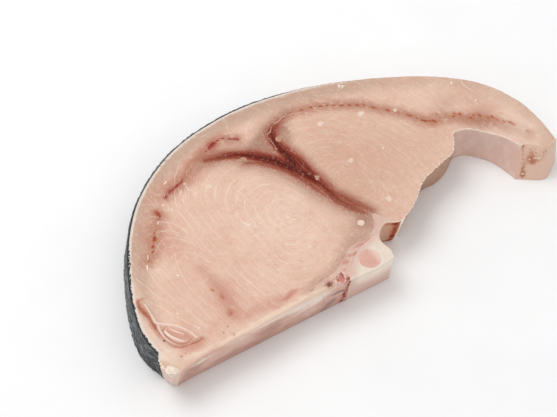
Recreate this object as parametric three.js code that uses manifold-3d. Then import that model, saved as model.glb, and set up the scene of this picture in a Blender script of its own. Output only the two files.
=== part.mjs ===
// Swordfish steak: half of a crosswise slice through the fish, cut 25 mm thick and split along the
// backbone. Millimetres. +X runs along the straight split from the back fin to the belly flap,
// +Y points from the split to the skin, and +Z is up through the thickness.
import * as THREE from 'three';
import { mergeVertices } from 'three/addons/utils/BufferGeometryUtils.js';
import Module from 'manifold-3d';

// Driving dimensions
const THICKNESS = 25;
const GAP = 0.3;
const EDGE_ROUNDING = 0.7;
const DISC_RADIUS = 7.2;
const DISC_CENTRE = [-6.4, -68.9];
const DISC_LEAN = [-0.6, 4.1];
const DISC_SUNK = 0.35;

// Relief of the cut faces
const RING_RELIEF = 0.28;
const RING_COUNT = 12;
const ROUND_CORE = 62;
const FOLD_DEPTH = 0.6;
const FOLD_WIDTH = 1.3;
const GROOVE_DEPTH = 0.9;
const GROOVE_WIDTH = 6;
const SLAB_SAG = 0.5;

// Mesh spacing
const FILL_SPACING = 4.4;
const RING_POINT_STEP = 5.4;
const CLEAR_OF_RIM = 2;
const CLEAR_OF_POINTS = 2.4;
const CLEAR_IN_DETAIL = 1.1;
const WALL_DEPTHS = [0.035, 0.15, 0.3, 0.5, 0.7, 0.85, 0.965];

// The outline, clockwise seen from above. Each row is a point of the upper rim, x and y, and how far
// the foot of the wall lies from it, x and y. The saw leans, so the foot is never right below.
const SKIN_SIDE = [
  [-148.3, -57.8, 1.4, -0.6],
  [-148.5, -39.6, -1.9, 0],
  [-141.8, -16, -3, 0.6],
  [-123, 20.8, -2.6, 1.8],
  [-98.7, 48.8, -1.8, 2.4],
  [-60.2, 70.4, -1, 2.6],
  [-13.6, 77.2, 0, 2.6],
  [34.1, 69.7, 0.8, 2.4],
  [76.9, 52.1, 1.2, 2.2],
  [114.4, 30.2, 1.6, 2],
  [137.6, 7.4, 2.2, 1.2],
  [148.8, -18.4, 2.8, 0.6],
  [150.4, -38.2, 3.4, 0.4],
  [148.2, -58, 4.5, 1.2],
];
const FLAP_END = [
  [148.2, -58, 4.5, 1.2],
  [137.8, -59.1, 1.4, -6],
  [134.1, -54.6, -0.3, -10.3],
  [129.9, -50.7, -2.6, -9.6],
  [125.5, -49.6, -5, -5.5],
];
const FLAP_INNER = [
  [125.5, -49.6, -5, -5.5],
  [121.6, -39, -3.8, -0.6],
  [115, -29.7, -1.6, -0.6],
  [105.3, -19.6, -0.6, -0.8],
  [96.8, -17.2, -0.7, -1.8],
];
const CAVITY_EDGE = [
  [96.8, -17.2, -0.7, -1.8],
  [86.5, -30, -1.3, 3.7],
  [74.8, -33.3, 0, 3.9],
  [65.6, -35.9, 0.4, 7],
  [55.1, -39.5, -4, 9.5],
  [43.2, -49.1, -6, 8],
  [36.8, -52.6, -4.2, 5.6],
  [29.8, -55.3, -1, 5.2],
];
const BONE_STEP = [
  [29.8, -55.3, -1, 5.2],
  [24.6, -56.2, 0, 5.7],
  [17.5, -52.4, 0, 3.4],
  [11.3, -54.7, 0, 0.4],
];
const BONE_BORDER = [
  [11.3, -54.7, 0, 0.4],
  [3.5, -56.2, -0.2, 2.4],
  [-6, -58.8, -0.4, 3.8],
  [-15, -63.8, -0.4, 3.8],
  [-21, -69.4, -0.2, 3.4],
  [-25.4, -75.2, 0, 3],
];
const BONE_OUTER = [
  [11.3, -54.7, 0, 0.4],
  [7.7, -59.7, -0.4, 0.6],
  [7.2, -63.5, -0.6, 1],
  [8.4, -70.2, -0.8, 1.8],
  [6.8, -75.6, -0.9, 2.3],
];
const BONE_SPLIT = [
  [6.8, -75.6, -0.9, 2.3],
  [-4.1, -77.2, -0.5, 4.2],
  [-14.5, -76.4, -0.2, 3.8],
  [-25.4, -75.2, 0, 3],
];
const SPLIT = [
  [-25.4, -75.2, 0, 3],
  [-38.9, -73.5, 0, 2],
  [-60.1, -72.4, 0, 1.8],
  [-90, -72.9, 0, 3.5],
  [-115.8, -72.4, 0, 4.1],
  [-138.9, -73.8, 0, 6.4],
  [-143.7, -74.6, 0.8, 7.2],
];
const FIN_TIP = [
  [-143.7, -74.6, 0.8, 7.2],
  [-149.6, -71.9, 5, 6.9],
  [-150.3, -66.2, 4.6, 4.6],
  [-148.3, -57.8, 1.4, -0.6],
];

// The two muscles. Their pale layers are rings round a centre that follow the muscle's own border:
// each row is a direction in degrees from +X and how far the border is from the centre.
const BACK_MUSCLE = {
  centre: [-29.3, -16.6],
  reach: [
    [-160, 124], [-150, 110], [-116, 64], [-90, 50], [-58, 48], [-42, 52], [-27, 45], [-14, 37],
    [0, 33], [30, 34], [48, 38], [60, 43], [73, 51], [90, 61], [105, 71], [120, 88], [150, 100],
    [180, 116],
  ],
};
const BELLY_MUSCLE = {
  centre: [15.9, -11.5],
  reach: [
    [-143, 14], [-117, 19], [-99, 30], [-72, 46], [-45, 46], [-26, 56], [-15, 73], [-3, 78],
    [10, 74], [30, 66], [48, 64], [68, 64], [87, 66], [111, 53], [122, 32], [144, 20], [180, 14],
  ],
};

// The dark muscle lies in a shallow groove between them, with a short branch to the skin
const DARK_MUSCLE = [
  [-47.7, 50.5], [-32, 47.7], [-18.7, 37.4], [-7.6, 21.1], [-0.1, 0], [3.9, -18.4], [11, -37.2],
];
const DARK_BRANCH = [
  [19.6, 54.9], [7.8, 54.2], [-1.4, 48.6], [-3.5, 35], [-1, 15.8],
];

// The rolled end of the fin muscle: the grooves round it and beside its inner lens
const FIN_FOLDS = [
  [
    [-136.3, -18.9], [-138.7, -18.7], [-140.7, -22.7], [-140.7, -29.9], [-139.3, -36.1],
    [-139, -41.6], [-138.7, -47.1], [-137.9, -52.9], [-135.4, -58], [-130, -60.8], [-121.7, -62.4],
  ],
  [[-135.2, -28], [-136.5, -38.5], [-129.5, -43.6], [-124.4, -50.5], [-122.3, -58.9]],
];

// The nerve canal over the backbone and the hole beside it, as open pits: centre, radius and depth
const PITS = [
  { at: [-29.9, -70.6], radius: 2.1, depth: 1.4 },
  { at: [-37.4, -70.9], radius: 1.7, depth: 1.5 },
];

// Dips and lumps of the upper face: centre x and y, radius and height
const BUMPS = [
  { at: [-129, -52], radius: 6, height: 0.7 },
  { at: [-138, -66], radius: 5, height: 0.9 },
  { at: [-146, -66], radius: 4, height: 0.8 },
  { at: [-136, -30], radius: 5, height: -0.6 },
];

// A smooth unevenness of the hand-cut surfaces, between -1 and 1
function unevenness(x, y) {
  const broad = Math.sin(x * 0.043 + 1.1) * Math.cos(y * 0.061 - 0.4);
  const fine = Math.sin(x * 0.19 - y * 0.07) * Math.sin(y * 0.23 + x * 0.05 + 2);
  return 0.65 * broad + 0.35 * fine;
}

// Radius of a muscle's border in a direction, read smoothly between the rows of its reach
function borderRadius(muscle, angle) {
  const rows = muscle.reach;
  const degrees = THREE.MathUtils.radToDeg(angle);
  const next = rows.findIndex((row) => row[0] >= degrees);
  const high = next < 0 ? rows[0] : rows[next];
  const low = next <= 0 ? rows[rows.length - 1] : rows[next - 1];
  const span = THREE.MathUtils.euclideanModulo(high[0] - low[0], 360);
  const along = THREE.MathUtils.euclideanModulo(degrees - low[0], 360) / span;
  return THREE.MathUtils.lerp(low[1], high[1], THREE.MathUtils.smoothstep(along, 0, 1));
}

// The muscle's layers at a place: level is 0 at its centre and 1 at its border, and reach is how far
// level 1 would be. The layers are round near the centre and follow the border further out.
function ringAt(muscle, x, y) {
  const dx = x - muscle.centre[0];
  const dy = y - muscle.centre[1];
  const distance = Math.hypot(dx, dy);
  const border = borderRadius(muscle, Math.atan2(dy, dx));
  const share = THREE.MathUtils.smoothstep(distance / border, 0, 0.9);
  const reach = THREE.MathUtils.lerp(ROUND_CORE, border, share);
  return { level: distance / reach, reach };
}

function smoothLine(points) {
  const corners = points.map(([x, y]) => new THREE.Vector3(x, y, 0));
  return new THREE.CatmullRomCurve3(corners, false, 'centripetal').getSpacedPoints(points.length * 6);
}

function distanceToLine(line, x, y) {
  return Math.min(...line.map((point) => Math.hypot(point.x - x, point.y - y)));
}

const grooves = [smoothLine(DARK_MUSCLE), smoothLine(DARK_BRANCH)];
const folds = FIN_FOLDS.map(smoothLine);

// Height of the upper cut face above its nominal level
function fleshRelief(x, y) {
  let height = SLAB_SAG * unevenness(x, y);
  for (const muscle of [BACK_MUSCLE, BELLY_MUSCLE]) {
    const { level, reach } = ringAt(muscle, x, y);
    const roomy = THREE.MathUtils.smoothstep(reach / RING_COUNT, 3, 5);
    const fade = roomy * (1 - THREE.MathUtils.smoothstep(level, 0.9, 1));
    height += RING_RELIEF * fade * Math.cos(level * RING_COUNT * 2 * Math.PI);
  }
  const distance = Math.min(...grooves.map((line) => distanceToLine(line, x, y)));
  height -= GROOVE_DEPTH * (1 - THREE.MathUtils.smoothstep(distance, 0, GROOVE_WIDTH));
  const foldDistance = Math.min(...folds.map((line) => distanceToLine(line, x, y)));
  height -= FOLD_DEPTH * Math.exp(-((foldDistance / FOLD_WIDTH) ** 2));
  for (const pit of PITS) {
    const away = Math.hypot(x - pit.at[0], y - pit.at[1]) / pit.radius;
    height -= pit.depth * (1 - THREE.MathUtils.smoothstep(away, 0.5, 1.2));
  }
  for (const bump of BUMPS) {
    const away = Math.hypot(x - bump.at[0], y - bump.at[1]) / bump.radius;
    height += bump.height * Math.exp(-away * away);
  }
  return height;
}

function boneRelief(x, y) {
  return 0.25 * unevenness(x * 2, y * 2);
}

// One stretch of the outline as columns: the rim, the foot, and the wall between them. bulge is how
// far the wall stands out at half height, and rough how uneven it is. The last point is left to the
// stretch that follows.
function wallColumns(rows, step, bulge = 0, rough = 0) {
  const rim = new THREE.CatmullRomCurve3(
    rows.map(([x, y]) => new THREE.Vector3(x, y, 0)), false, 'centripetal');
  const lean = new THREE.CatmullRomCurve3(
    rows.map((row) => new THREE.Vector3(row[2], row[3], 0)), false, 'catmullrom');
  const count = Math.max(1, Math.round(rim.getLength() / step));
  const columns = [];
  for (let i = 0; i < count; i += 1) {
    const t = rim.getUtoTmapping(i / count);
    const tangent = rim.getTangent(t);
    columns.push({
      rim: rim.getPoint(t),
      lean: lean.getPoint(t),
      outward: new THREE.Vector3(-tangent.y, tangent.x, 0),
      bulge: bulge * Math.min(1, 4 * i / count, 4 * (count - i) / count),
      rough: i === 0 ? 0 : rough,
    });
  }
  return columns;
}

// The same stretch moved sideways by the clearance, to its right as it runs
function shiftedRows(rows, distance) {
  return rows.map((row, i) => {
    const before = rows[Math.max(0, i - 1)];
    const after = rows[Math.min(rows.length - 1, i + 1)];
    const length = Math.hypot(after[0] - before[0], after[1] - before[1]);
    const right = [(after[1] - before[1]) / length, -(after[0] - before[0]) / length];
    return [row[0] + right[0] * distance, row[1] + right[1] * distance, row[2], row[3]];
  });
}

// A point of the wall: depth is 0 at the rim and 1 at the foot
function wallPoint(column, depth) {
  const x = column.rim.x + column.lean.x * depth;
  const y = column.rim.y + column.lean.y * depth;
  const z = THICKNESS * (1 - depth);
  const swell = column.bulge * Math.sin(Math.PI * depth);
  const lumps = column.rough * unevenness(x * 2.3 + z * 1.1, y * 2.3 - z * 1.9);
  const out = swell + lumps * Math.sin(Math.PI * depth);
  return new THREE.Vector3(x + column.outward.x * out, y + column.outward.y * out, z);
}

// A ring of points pulled in from the outline by the rounding of the edge
function insetRing(points, distance) {
  return points.map((point, i) => {
    const before = points[(i + points.length - 1) % points.length];
    const after = points[(i + 1) % points.length];
    const along = new THREE.Vector3().subVectors(after, before).normalize();
    return new THREE.Vector3(point.x + along.y * distance, point.y - along.x * distance, point.z);
  });
}

function isInside(ring, x, y) {
  let inside = false;
  for (let i = 0, j = ring.length - 1; i < ring.length; j = i, i += 1) {
    const a = ring[i];
    const b = ring[j];
    if ((a.y > y) !== (b.y > y) && x < (b.x - a.x) * (y - a.y) / (b.y - a.y) + a.x) {
      inside = !inside;
    }
  }
  return inside;
}

// Places in and beside the folds and the pits, close enough together to show them
function detailPoints() {
  const places = [];
  for (const line of folds) {
    for (let i = 1; i + 1 < line.length; i += 1) {
      const along = new THREE.Vector3().subVectors(line[i + 1], line[i - 1]).normalize();
      for (const side of [0, -1.7, 1.7]) {
        places.push([line[i].x - along.y * side, line[i].y + along.x * side]);
      }
    }
  }
  for (const pit of PITS) {
    for (const [share, count] of [[0, 1], [0.5, 5], [1, 9], [1.6, 11]]) {
      for (let i = 0; i < count; i += 1) {
        const angle = 2 * Math.PI * i / count;
        const away = pit.radius * share;
        places.push([pit.at[0] + away * Math.cos(angle), pit.at[1] + away * Math.sin(angle)]);
      }
    }
  }
  return places;
}

// Points of the fill, each with the room it needs: in the small features first, then on the crests
// and valleys of the rings, then an even field between them
function fillCandidates(box) {
  const candidates = detailPoints().map(([x, y]) => [x, y, CLEAR_IN_DETAIL]);
  for (const muscle of [BACK_MUSCLE, BELLY_MUSCLE]) {
    for (let half = 1; half < RING_COUNT * 2; half += 1) {
      const level = half / (RING_COUNT * 2);
      let angle = half;
      const lastAngle = half + 2 * Math.PI;
      while (angle < lastAngle) {
        const turned = Math.atan2(Math.sin(angle), Math.cos(angle));
        const radius = level * borderRadius(muscle, turned);
        const x = muscle.centre[0] + radius * Math.cos(angle);
        const y = muscle.centre[1] + radius * Math.sin(angle);
        candidates.push([x, y, CLEAR_OF_POINTS]);
        angle += RING_POINT_STEP / Math.max(radius, RING_POINT_STEP);
      }
    }
  }
  for (let row = 0; box.min.y + row * FILL_SPACING * 0.866 < box.max.y; row += 1) {
    for (let x = box.min.x + (row % 2) * FILL_SPACING / 2; x < box.max.x; x += FILL_SPACING) {
      candidates.push([x, box.min.y + row * FILL_SPACING * 0.866, CLEAR_OF_POINTS]);
    }
  }
  return candidates;
}

function fillPoints(ring, candidates) {
  const kept = [];
  const isFar = (points, x, y, distance) => points.every(
    (point) => Math.abs(point.x - x) > distance || Math.hypot(point.x - x, point.y - y) > distance);
  for (const [x, y, room] of candidates) {
    if (isInside(ring, x, y) && isFar(ring, x, y, Math.min(room, CLEAR_OF_RIM)) && isFar(kept, x, y, room)) {
      kept.push(new THREE.Vector3(x, y, THICKNESS));
    }
  }
  return kept;
}

// Triangle i, j, k of the points with the circle through its corners
function circled(points, i, j, k) {
  const a = points[i];
  const b = points[j];
  const c = points[k];
  const twice = 2 * ((b.x - a.x) * (c.y - a.y) - (b.y - a.y) * (c.x - a.x));
  const ab = (b.x - a.x) ** 2 + (b.y - a.y) ** 2;
  const ac = (c.x - a.x) ** 2 + (c.y - a.y) ** 2;
  const x = ((c.y - a.y) * ab - (b.y - a.y) * ac) / twice;
  const y = ((b.x - a.x) * ac - (c.x - a.x) * ab) / twice;
  return { corners: twice > 0 ? [i, j, k] : [i, k, j], x: a.x + x, y: a.y + y, square: x * x + y * y };
}

// Delaunay triangles over the points, each one anticlockwise, found by adding the points in turn
function delaunay(points) {
  const far = 4000;
  const all = [...points, { x: -far, y: -far }, { x: far, y: -far }, { x: 0, y: far }];
  const count = points.length;
  let triangles = [circled(all, count, count + 1, count + 2)];
  for (let p = 0; p < count; p += 1) {
    const { x, y } = all[p];
    const edges = new Map();
    const untouched = [];
    for (const triangle of triangles) {
      if ((x - triangle.x) ** 2 + (y - triangle.y) ** 2 >= triangle.square) {
        untouched.push(triangle);
        continue;
      }
      for (let side = 0; side < 3; side += 1) {
        const from = triangle.corners[side];
        const to = triangle.corners[(side + 1) % 3];
        if (!edges.delete(`${to} ${from}`)) {
          edges.set(`${from} ${to}`, [from, to]);
        }
      }
    }
    for (const [from, to] of edges.values()) {
      untouched.push(circled(all, from, to, p));
    }
    triangles = untouched;
  }
  return triangles.map((triangle) => triangle.corners).filter((corners) => Math.max(...corners) < count);
}

// Triangles that fill a ring and the points inside it
function fillTriangles(ring, inner) {
  const points = [...ring, ...inner];
  return delaunay(points).filter((corners) => {
    const [a, b, c] = corners.map((corner) => points[corner]);
    return isInside(ring, (a.x + b.x + c.x) / 3, (a.y + b.y + c.y) / 3);
  });
}

// A closed slab from its wall columns, with relief on its upper face. candidates are the places for
// points inside the upper face.
function slab(columns, relief, candidates) {
  const outline = columns.map((column) => wallPoint(column, 0));
  const top = insetRing(outline, EDGE_ROUNDING);
  const inner = fillPoints(top, candidates);
  for (const point of [...top, ...inner]) {
    point.z += relief(point.x, point.y);
  }
  const foot = insetRing(columns.map((column) => wallPoint(column, 1)), EDGE_ROUNDING);
  const rings = [top, ...WALL_DEPTHS.map((depth) => columns.map((column) => wallPoint(column, depth))), foot];

  const vertices = [...rings.flat(), ...inner];
  const faces = [];
  const size = columns.length;
  for (let level = 0; level + 1 < rings.length; level += 1) {
    for (let i = 0; i < size; i += 1) {
      const next = (i + 1) % size;
      const [a, b, c, d] = [level * size + i, level * size + next, (level + 1) * size + next, (level + 1) * size + i];
      faces.push([a, b, c], [a, c, d]);
    }
  }
  const innerStart = rings.length * size;
  for (const corners of fillTriangles(top, inner)) {
    faces.push(corners.map((corner) => (corner < size ? corner : innerStart + corner - size)));
  }
  const footStart = (rings.length - 1) * size;
  for (const corners of fillTriangles(foot, [])) {
    faces.push(corners.reverse().map((corner) => footStart + corner));
  }
  return geometryOf(vertices, faces);
}

function geometryOf(vertices, faces) {
  const geometry = new THREE.BufferGeometry();
  geometry.setAttribute('position', new THREE.Float32BufferAttribute(
    vertices.flatMap((vertex) => [vertex.x, vertex.y, vertex.z]), 3));
  geometry.setIndex(faces.flat());
  return geometry;
}

// A slanted round rod that follows the lean of the backbone from below its foot to above its rim
function leaningRod(radius, bottom, top, sides) {
  const rod = new THREE.CylinderGeometry(radius, radius, top - bottom, sides, 4);
  rod.rotateX(Math.PI / 2);
  rod.translate(0, 0, (top + bottom) / 2);
  const place = rod.attributes.position;
  for (let i = 0; i < place.count; i += 1) {
    const depth = 1 - place.getZ(i) / THICKNESS;
    place.setXY(i,
      place.getX(i) + DISC_CENTRE[0] + DISC_LEAN[0] * depth,
      place.getY(i) + DISC_CENTRE[1] + DISC_LEAN[1] * depth);
  }
  return rod;
}

const wasm = await Module();
wasm.setup();

function toSolid(geometry) {
  const bare = geometry.clone();
  bare.deleteAttribute('normal');
  bare.deleteAttribute('uv');
  const merged = mergeVertices(bare, 0.001);
  return new wasm.Manifold(new wasm.Mesh({
    numProp: 3,
    vertProperties: new Float32Array(merged.attributes.position.array),
    triVerts: new Uint32Array(merged.index.array),
  }));
}

function fromSolid(solid) {
  const mesh = solid.getMesh();
  const geometry = new THREE.BufferGeometry();
  geometry.setAttribute('position', new THREE.BufferAttribute(new Float32Array(mesh.vertProperties), 3));
  geometry.setIndex(new THREE.BufferAttribute(new Uint32Array(mesh.triVerts), 1));
  return geometry;
}

function namedMesh(name, geometry, color, roughness) {
  geometry.computeVertexNormals();
  const mesh = new THREE.Mesh(geometry, new THREE.MeshStandardMaterial({ color, roughness, metalness: 0 }));
  mesh.name = name;
  return mesh;
}

// The flesh: both muscles, the belly flap and the skin, in one piece, open where the backbone sits
function flesh() {
  const columns = [
    ...wallColumns(SKIN_SIDE, 4.2, 1, 0.7),
    ...wallColumns(FLAP_END, 2.6, 0.6, 0.8),
    ...wallColumns(FLAP_INNER, 3.4, -0.5, 0.3),
    ...wallColumns(CAVITY_EDGE, 3.4, -0.4, 0.5),
    ...wallColumns(BONE_STEP, 2.8, 0, 0.5),
    ...wallColumns(BONE_BORDER, 3.4),
    ...wallColumns(SPLIT, 4, 0.3, 0.9),
    ...wallColumns(FIN_TIP, 2.4, 0.5, 0.6),
  ];
  const box = new THREE.Box3().setFromPoints(columns.map((column) => column.rim));
  return namedMesh('flesh', slab(columns, fleshRelief, fillCandidates(box)), '#e0bda6', 0.42);
}

// The split half of a backbone joint, as deep as the steak, with a round core through it
function backbone() {
  const border = shiftedRows(BONE_BORDER, -GAP).reverse();
  const outer = [border[border.length - 1], ...BONE_OUTER.slice(1)];
  const split = [...BONE_SPLIT.slice(0, -1), border[0]];
  const columns = [
    ...wallColumns(border, 3.4),
    ...wallColumns(outer, 3),
    ...wallColumns(split, 3, 0, 0.3),
  ];
  const block = slab(columns, boneRelief, []);
  const bore = leaningRod(DISC_RADIUS + GAP, -2, THICKNESS + 2, 32);
  return namedMesh('backbone', fromSolid(toSolid(block).subtract(toSolid(bore))), '#e9dccb', 0.45);
}

function backboneDisc() {
  const rod = mergeVertices(leaningRod(DISC_RADIUS, 0, THICKNESS - DISC_SUNK, 32));
  return namedMesh('backbone_disc', rod, '#d9a89b', 0.3);
}

const steak = new THREE.Group();
steak.add(flesh(), backbone(), backboneDisc());

// The origin is below the middle of the whole steak
const whole = new THREE.Box3().setFromObject(steak);
const middle = whole.getCenter(new THREE.Vector3());
steak.position.set(-middle.x, -middle.y, -whole.min.z);
steak.updateMatrixWorld(true);

export default steak;
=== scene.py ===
"""Swordfish steak: the finish of every surface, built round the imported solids.

Places on the steak are millimetres in the drawing's own frame: +X along the straight split from the
fin tip to the belly flap, +Y towards the skin, +Z up. MIDDLE moves them to the row's frame.
"""
import math

from random import Random

import bpy
import numpy as np
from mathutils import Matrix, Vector, noise
from mathutils.geometry import delaunay_2d_cdt


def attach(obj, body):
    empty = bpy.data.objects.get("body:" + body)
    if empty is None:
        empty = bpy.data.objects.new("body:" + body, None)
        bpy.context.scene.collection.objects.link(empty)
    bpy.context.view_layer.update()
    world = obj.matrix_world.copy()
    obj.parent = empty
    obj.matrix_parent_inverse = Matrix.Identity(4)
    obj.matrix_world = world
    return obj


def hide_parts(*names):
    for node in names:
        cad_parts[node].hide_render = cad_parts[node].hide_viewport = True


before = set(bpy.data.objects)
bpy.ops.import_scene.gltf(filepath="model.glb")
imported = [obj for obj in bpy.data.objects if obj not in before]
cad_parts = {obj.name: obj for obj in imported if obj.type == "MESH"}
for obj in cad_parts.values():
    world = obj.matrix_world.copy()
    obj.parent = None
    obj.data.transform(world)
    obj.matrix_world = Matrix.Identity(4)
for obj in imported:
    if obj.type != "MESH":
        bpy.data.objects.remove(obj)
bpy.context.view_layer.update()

MM = 0.001
SEED = 11

# Driving dimensions of the steak
MIDDLE = (1.702, 1.502)
THICKNESS = 25.0
EDGE_ROUNDING = 0.7
SEAM_ROUNDING = 0.02
SEAM = 0.01
DISC_RADIUS = 7.2
DISC_CENTRE = (-6.4, -68.9)
DISC_LEAN = (-0.6, 4.1)
CORE_RISE = 0.3
CORE_SUNK = 0.05
CORE_SIDES = 96
SKIN_THICKNESS = 1.0

# The photograph's camera
LENS = 100.0
SENSOR = 36.0
AIM = (-31.11, -6.56, THICKNESS)
CAMERA_DISTANCE = 955.0
CAMERA_AZIMUTH = -33.6
CAMERA_ELEVATION = 52.0
# Its light and ground: metres, watts and the strength of the white surround
FLOOR_HALF = 2.5
SURROUND_STRENGTH = 0.78
LIGHT_PLACE = (-0.35, 0.75, 1.5)
LIGHT_SIZE = 1.1
LIGHT_WATTS = 11.5

# Mesh spacing
FILL_SPACING = 1.0
FINE_SPACING = 0.4
RIM_SPACING = 0.85
WALL_ROWS = 18
SKIN_SPACING = 0.6
SKIN_ROWS = 26
ON_FACE = 2.0
NO_HOLE = np.zeros((0, 2))
BONE_SPACING = 0.6

# The outline, clockwise from above: rim x and y, then how far the wall's foot lies from it, x and y
SKIN_SIDE = [
    (-148.3, -57.8, 1.4, -0.6), (-148.5, -39.6, -1.9, 0), (-141.8, -16, -3, 0.6),
    (-123, 20.8, -2.6, 1.8), (-98.7, 48.8, -1.8, 2.4), (-60.2, 70.4, -1, 2.6),
    (-13.6, 77.2, 0, 2.6), (34.1, 69.7, 0.8, 2.4), (76.9, 52.1, 1.2, 2.2),
    (114.4, 30.2, 1.6, 2), (137.6, 7.4, 2.2, 1.2), (148.8, -18.4, 2.8, 0.6),
    (150.4, -38.2, 3.4, 0.4), (148.2, -58, 4.5, 1.2),
]
FLAP_END = [
    (148.2, -58, 4.5, 1.2), (137.8, -59.1, 1.4, -6), (134.1, -54.6, -0.3, -10.3),
    (129.9, -50.7, -2.6, -9.6), (125.5, -49.6, -5, -5.5),
]
FLAP_INNER = [
    (125.5, -49.6, -5, -5.5), (121.6, -39, -3.8, -0.6), (115, -29.7, -1.6, -0.6),
    (105.3, -19.6, -0.6, -0.8), (96.8, -17.2, -0.7, -1.8),
]
CAVITY_EDGE = [
    (96.8, -17.2, -0.7, -1.8), (86.5, -30, -1.3, 3.7), (74.8, -33.3, 0, 3.9),
    (65.6, -35.9, 0.4, 7), (55.1, -39.5, -4, 9.5), (43.2, -49.1, -6, 8),
    (36.8, -52.6, -4.2, 5.6), (29.8, -55.3, -1, 5.2),
]
BONE_STEP = [
    (29.8, -55.3, -1, 5.2), (24.6, -56.2, 0, 5.7), (17.5, -52.4, 0, 3.4), (11.3, -54.7, 0, 0.4),
]
BONE_BORDER = [
    (11.3, -54.7, 0, 0.4), (3.5, -56.2, -0.2, 2.4), (-6, -58.8, -0.4, 3.8),
    (-15, -63.8, -0.4, 3.8), (-21, -69.4, -0.2, 3.4), (-25.4, -75.2, 0, 3),
]
BONE_OUTER = [
    (11.3, -54.7, 0, 0.4), (7.7, -59.7, -0.4, 0.6), (7.2, -63.5, -0.6, 1),
    (8.4, -70.2, -0.8, 1.8), (6.8, -75.6, -0.9, 2.3),
]
BONE_SPLIT = [
    (6.8, -75.6, -0.9, 2.3), (-4.1, -77.2, -0.5, 4.2), (-14.5, -76.4, -0.2, 3.8),
    (-25.4, -75.2, 0, 3),
]
SPLIT = [
    (-25.4, -75.2, 0, 3), (-38.9, -73.5, 0, 2), (-60.1, -72.4, 0, 1.8), (-90, -72.9, 0, 3.5),
    (-115.8, -72.4, 0, 4.1), (-138.9, -73.8, 0, 6.4), (-143.7, -74.6, 0.8, 7.2),
]
FIN_TIP = [
    (-143.7, -74.6, 0.8, 7.2), (-149.6, -71.9, 5, 6.9), (-150.3, -66.2, 4.6, 4.6),
    (-148.3, -57.8, 1.4, -0.6),
]

# The two muscles: a centre, and how far the border is from it in each direction, in degrees
BACK_MUSCLE = ((-29.3, -16.6), [
    (-160, 124), (-150, 110), (-116, 64), (-90, 50), (-58, 48), (-42, 52), (-27, 45), (-14, 37),
    (0, 33), (30, 34), (48, 38), (60, 43), (73, 51), (90, 61), (105, 71), (120, 88), (150, 100),
    (180, 116),
])
BELLY_MUSCLE = ((15.9, -11.5), [
    (-143, 14), (-117, 19), (-99, 30), (-72, 46), (-45, 46), (-26, 56), (-15, 73), (-3, 78),
    (10, 74), (30, 66), (48, 64), (68, 64), (87, 66), (111, 53), (122, 32), (144, 20), (180, 14),
])
# The layers of each muscle as one ring round a centre: the centre, how many layers lie inside the
# ring, and its reach in each direction, in degrees
BACK_RINGS = ((-29.0, -16.0), 7.0, [
    (-173, 33.2), (-142, 39.2), (-128, 45.6), (-111, 45), (-91, 43), (-64, 43.4), (-50, 44.7),
    (-34, 39.7), (-16, 32.3), (8, 28.3), (37, 30), (63, 38), (81, 46.5), (100, 49.8), (115, 49.7),
    (128, 47), (140, 43.3), (155, 37.6),
])
BELLY_RINGS = ((17.0, -12.0), 4.4, [
    (-130, 13.8), (-101, 24.5), (-60, 37), (-45, 30.4), (-19, 23.7), (18, 22), (51, 24.6), (69, 27.8),
    (85, 31), (100, 32), (120, 26.7), (130, 17.9), (165, 11.2),
])
# The fin half's layers are tall arches: their middle, their slant, height to width and spacing
FIN_ARCHES = ((-99.5, -25.0), 0.1, 2.4, 5.4)
RING_RELIEF = 0.05
GROOVE_DEPTH = 0.9
GROOVE_WIDTH = 6.0
SLAB_SAG = 0.5

# Strands of the dark muscle between them, and of its branch: x, y, half width and darkness
DARK_STRANDS = [
    [(-48.3, 51.1, 0.2, 0.35), (-41.5, 49.3, 1.0, 0.55), (-34.2, 47, 1.7, 0.8), (-26.9, 42.5, 2.2, 0.9),
     (-21.5, 38.4, 2.6, 0.95), (-16, 32, 3.1, 1), (-10.5, 24.7, 3.6, 1), (-6, 16.5, 3.4, 1),
     (-2.4, 9.3, 2.9, 1), (-0.1, 2, 2.4, 0.95), (2.2, -5.3, 2.1, 0.9), (3.1, -12.5, 2.0, 0.65),
     (4.2, -19.8, 2.1, 0.45), (6.7, -27.1, 1.9, 0.35), (9.4, -33, 1.2, 0.3), (11.6, -38.5, -0.6, 0.15)],
    [(-28, 35.8, -0.4, 0.3), (-21, 31.5, 0.6, 0.4), (-17.5, 28, 0.9, 0.5), (-12, 21, 1.3, 0.6),
     (-7.5, 12, 1.3, 0.6), (-4.5, 2, 0.9, 0.5), (-2, -8, 0.2, 0.4), (-0.5, -15, -0.6, 0.2)],
    [(15, 54.5, -1.5, 0), (9, 53.3, 0, 0.15), (4, 51.0, 1.2, 0.5), (0.2, 48.6, 1.9, 0.8),
     (-1.8, 45, 2.1, 0.95), (-2.8, 40, 2.3, 1), (-3, 34.7, 2.6, 0.9), (-2.6, 27.5, 3.4, 0.95),
     (-3, 21, 3.8, 1), (-3.4, 15, 3.4, 1)],
    [(-0.6, 32, 0.1, 0.5), (0.8, 25, 1.0, 0.75), (1.2, 18, 1.6, 0.9), (1.6, 11, 1.7, 0.9),
     (2.4, 4, 1.3, 0.8), (3.6, -3, 0.7, 0.6), (5, -10, -0.2, 0.4)],
    [(5.6, -14, -0.4, 0.3), (7.6, -20, 0.6, 0.4), (9.5, -25.4, 0.8, 0.38), (11.8, -30.5, 0.6, 0.33),
     (14.4, -35.4, 0.1, 0.25), (16.2, -39, -0.6, 0.1)],
]
# The pale edge of the membrane that runs along the branch, and a loose end of it
BRANCH_EDGE = [
    (-5.5, 34), (-4.6, 39), (-4.2, 43.8), (-3.7, 47.9), (-0.5, 49.3), (2.2, 52), (5.8, 53.4), (9.5, 53.8),
    (13.1, 55.2), (16.7, 54.3), (22.2, 52.9), (24.9, 51.1),
]
BRANCH_END = [(23.1, 49.3), (19.5, 48.4), (16.7, 48.8), (9.5, 47.9)]

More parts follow.
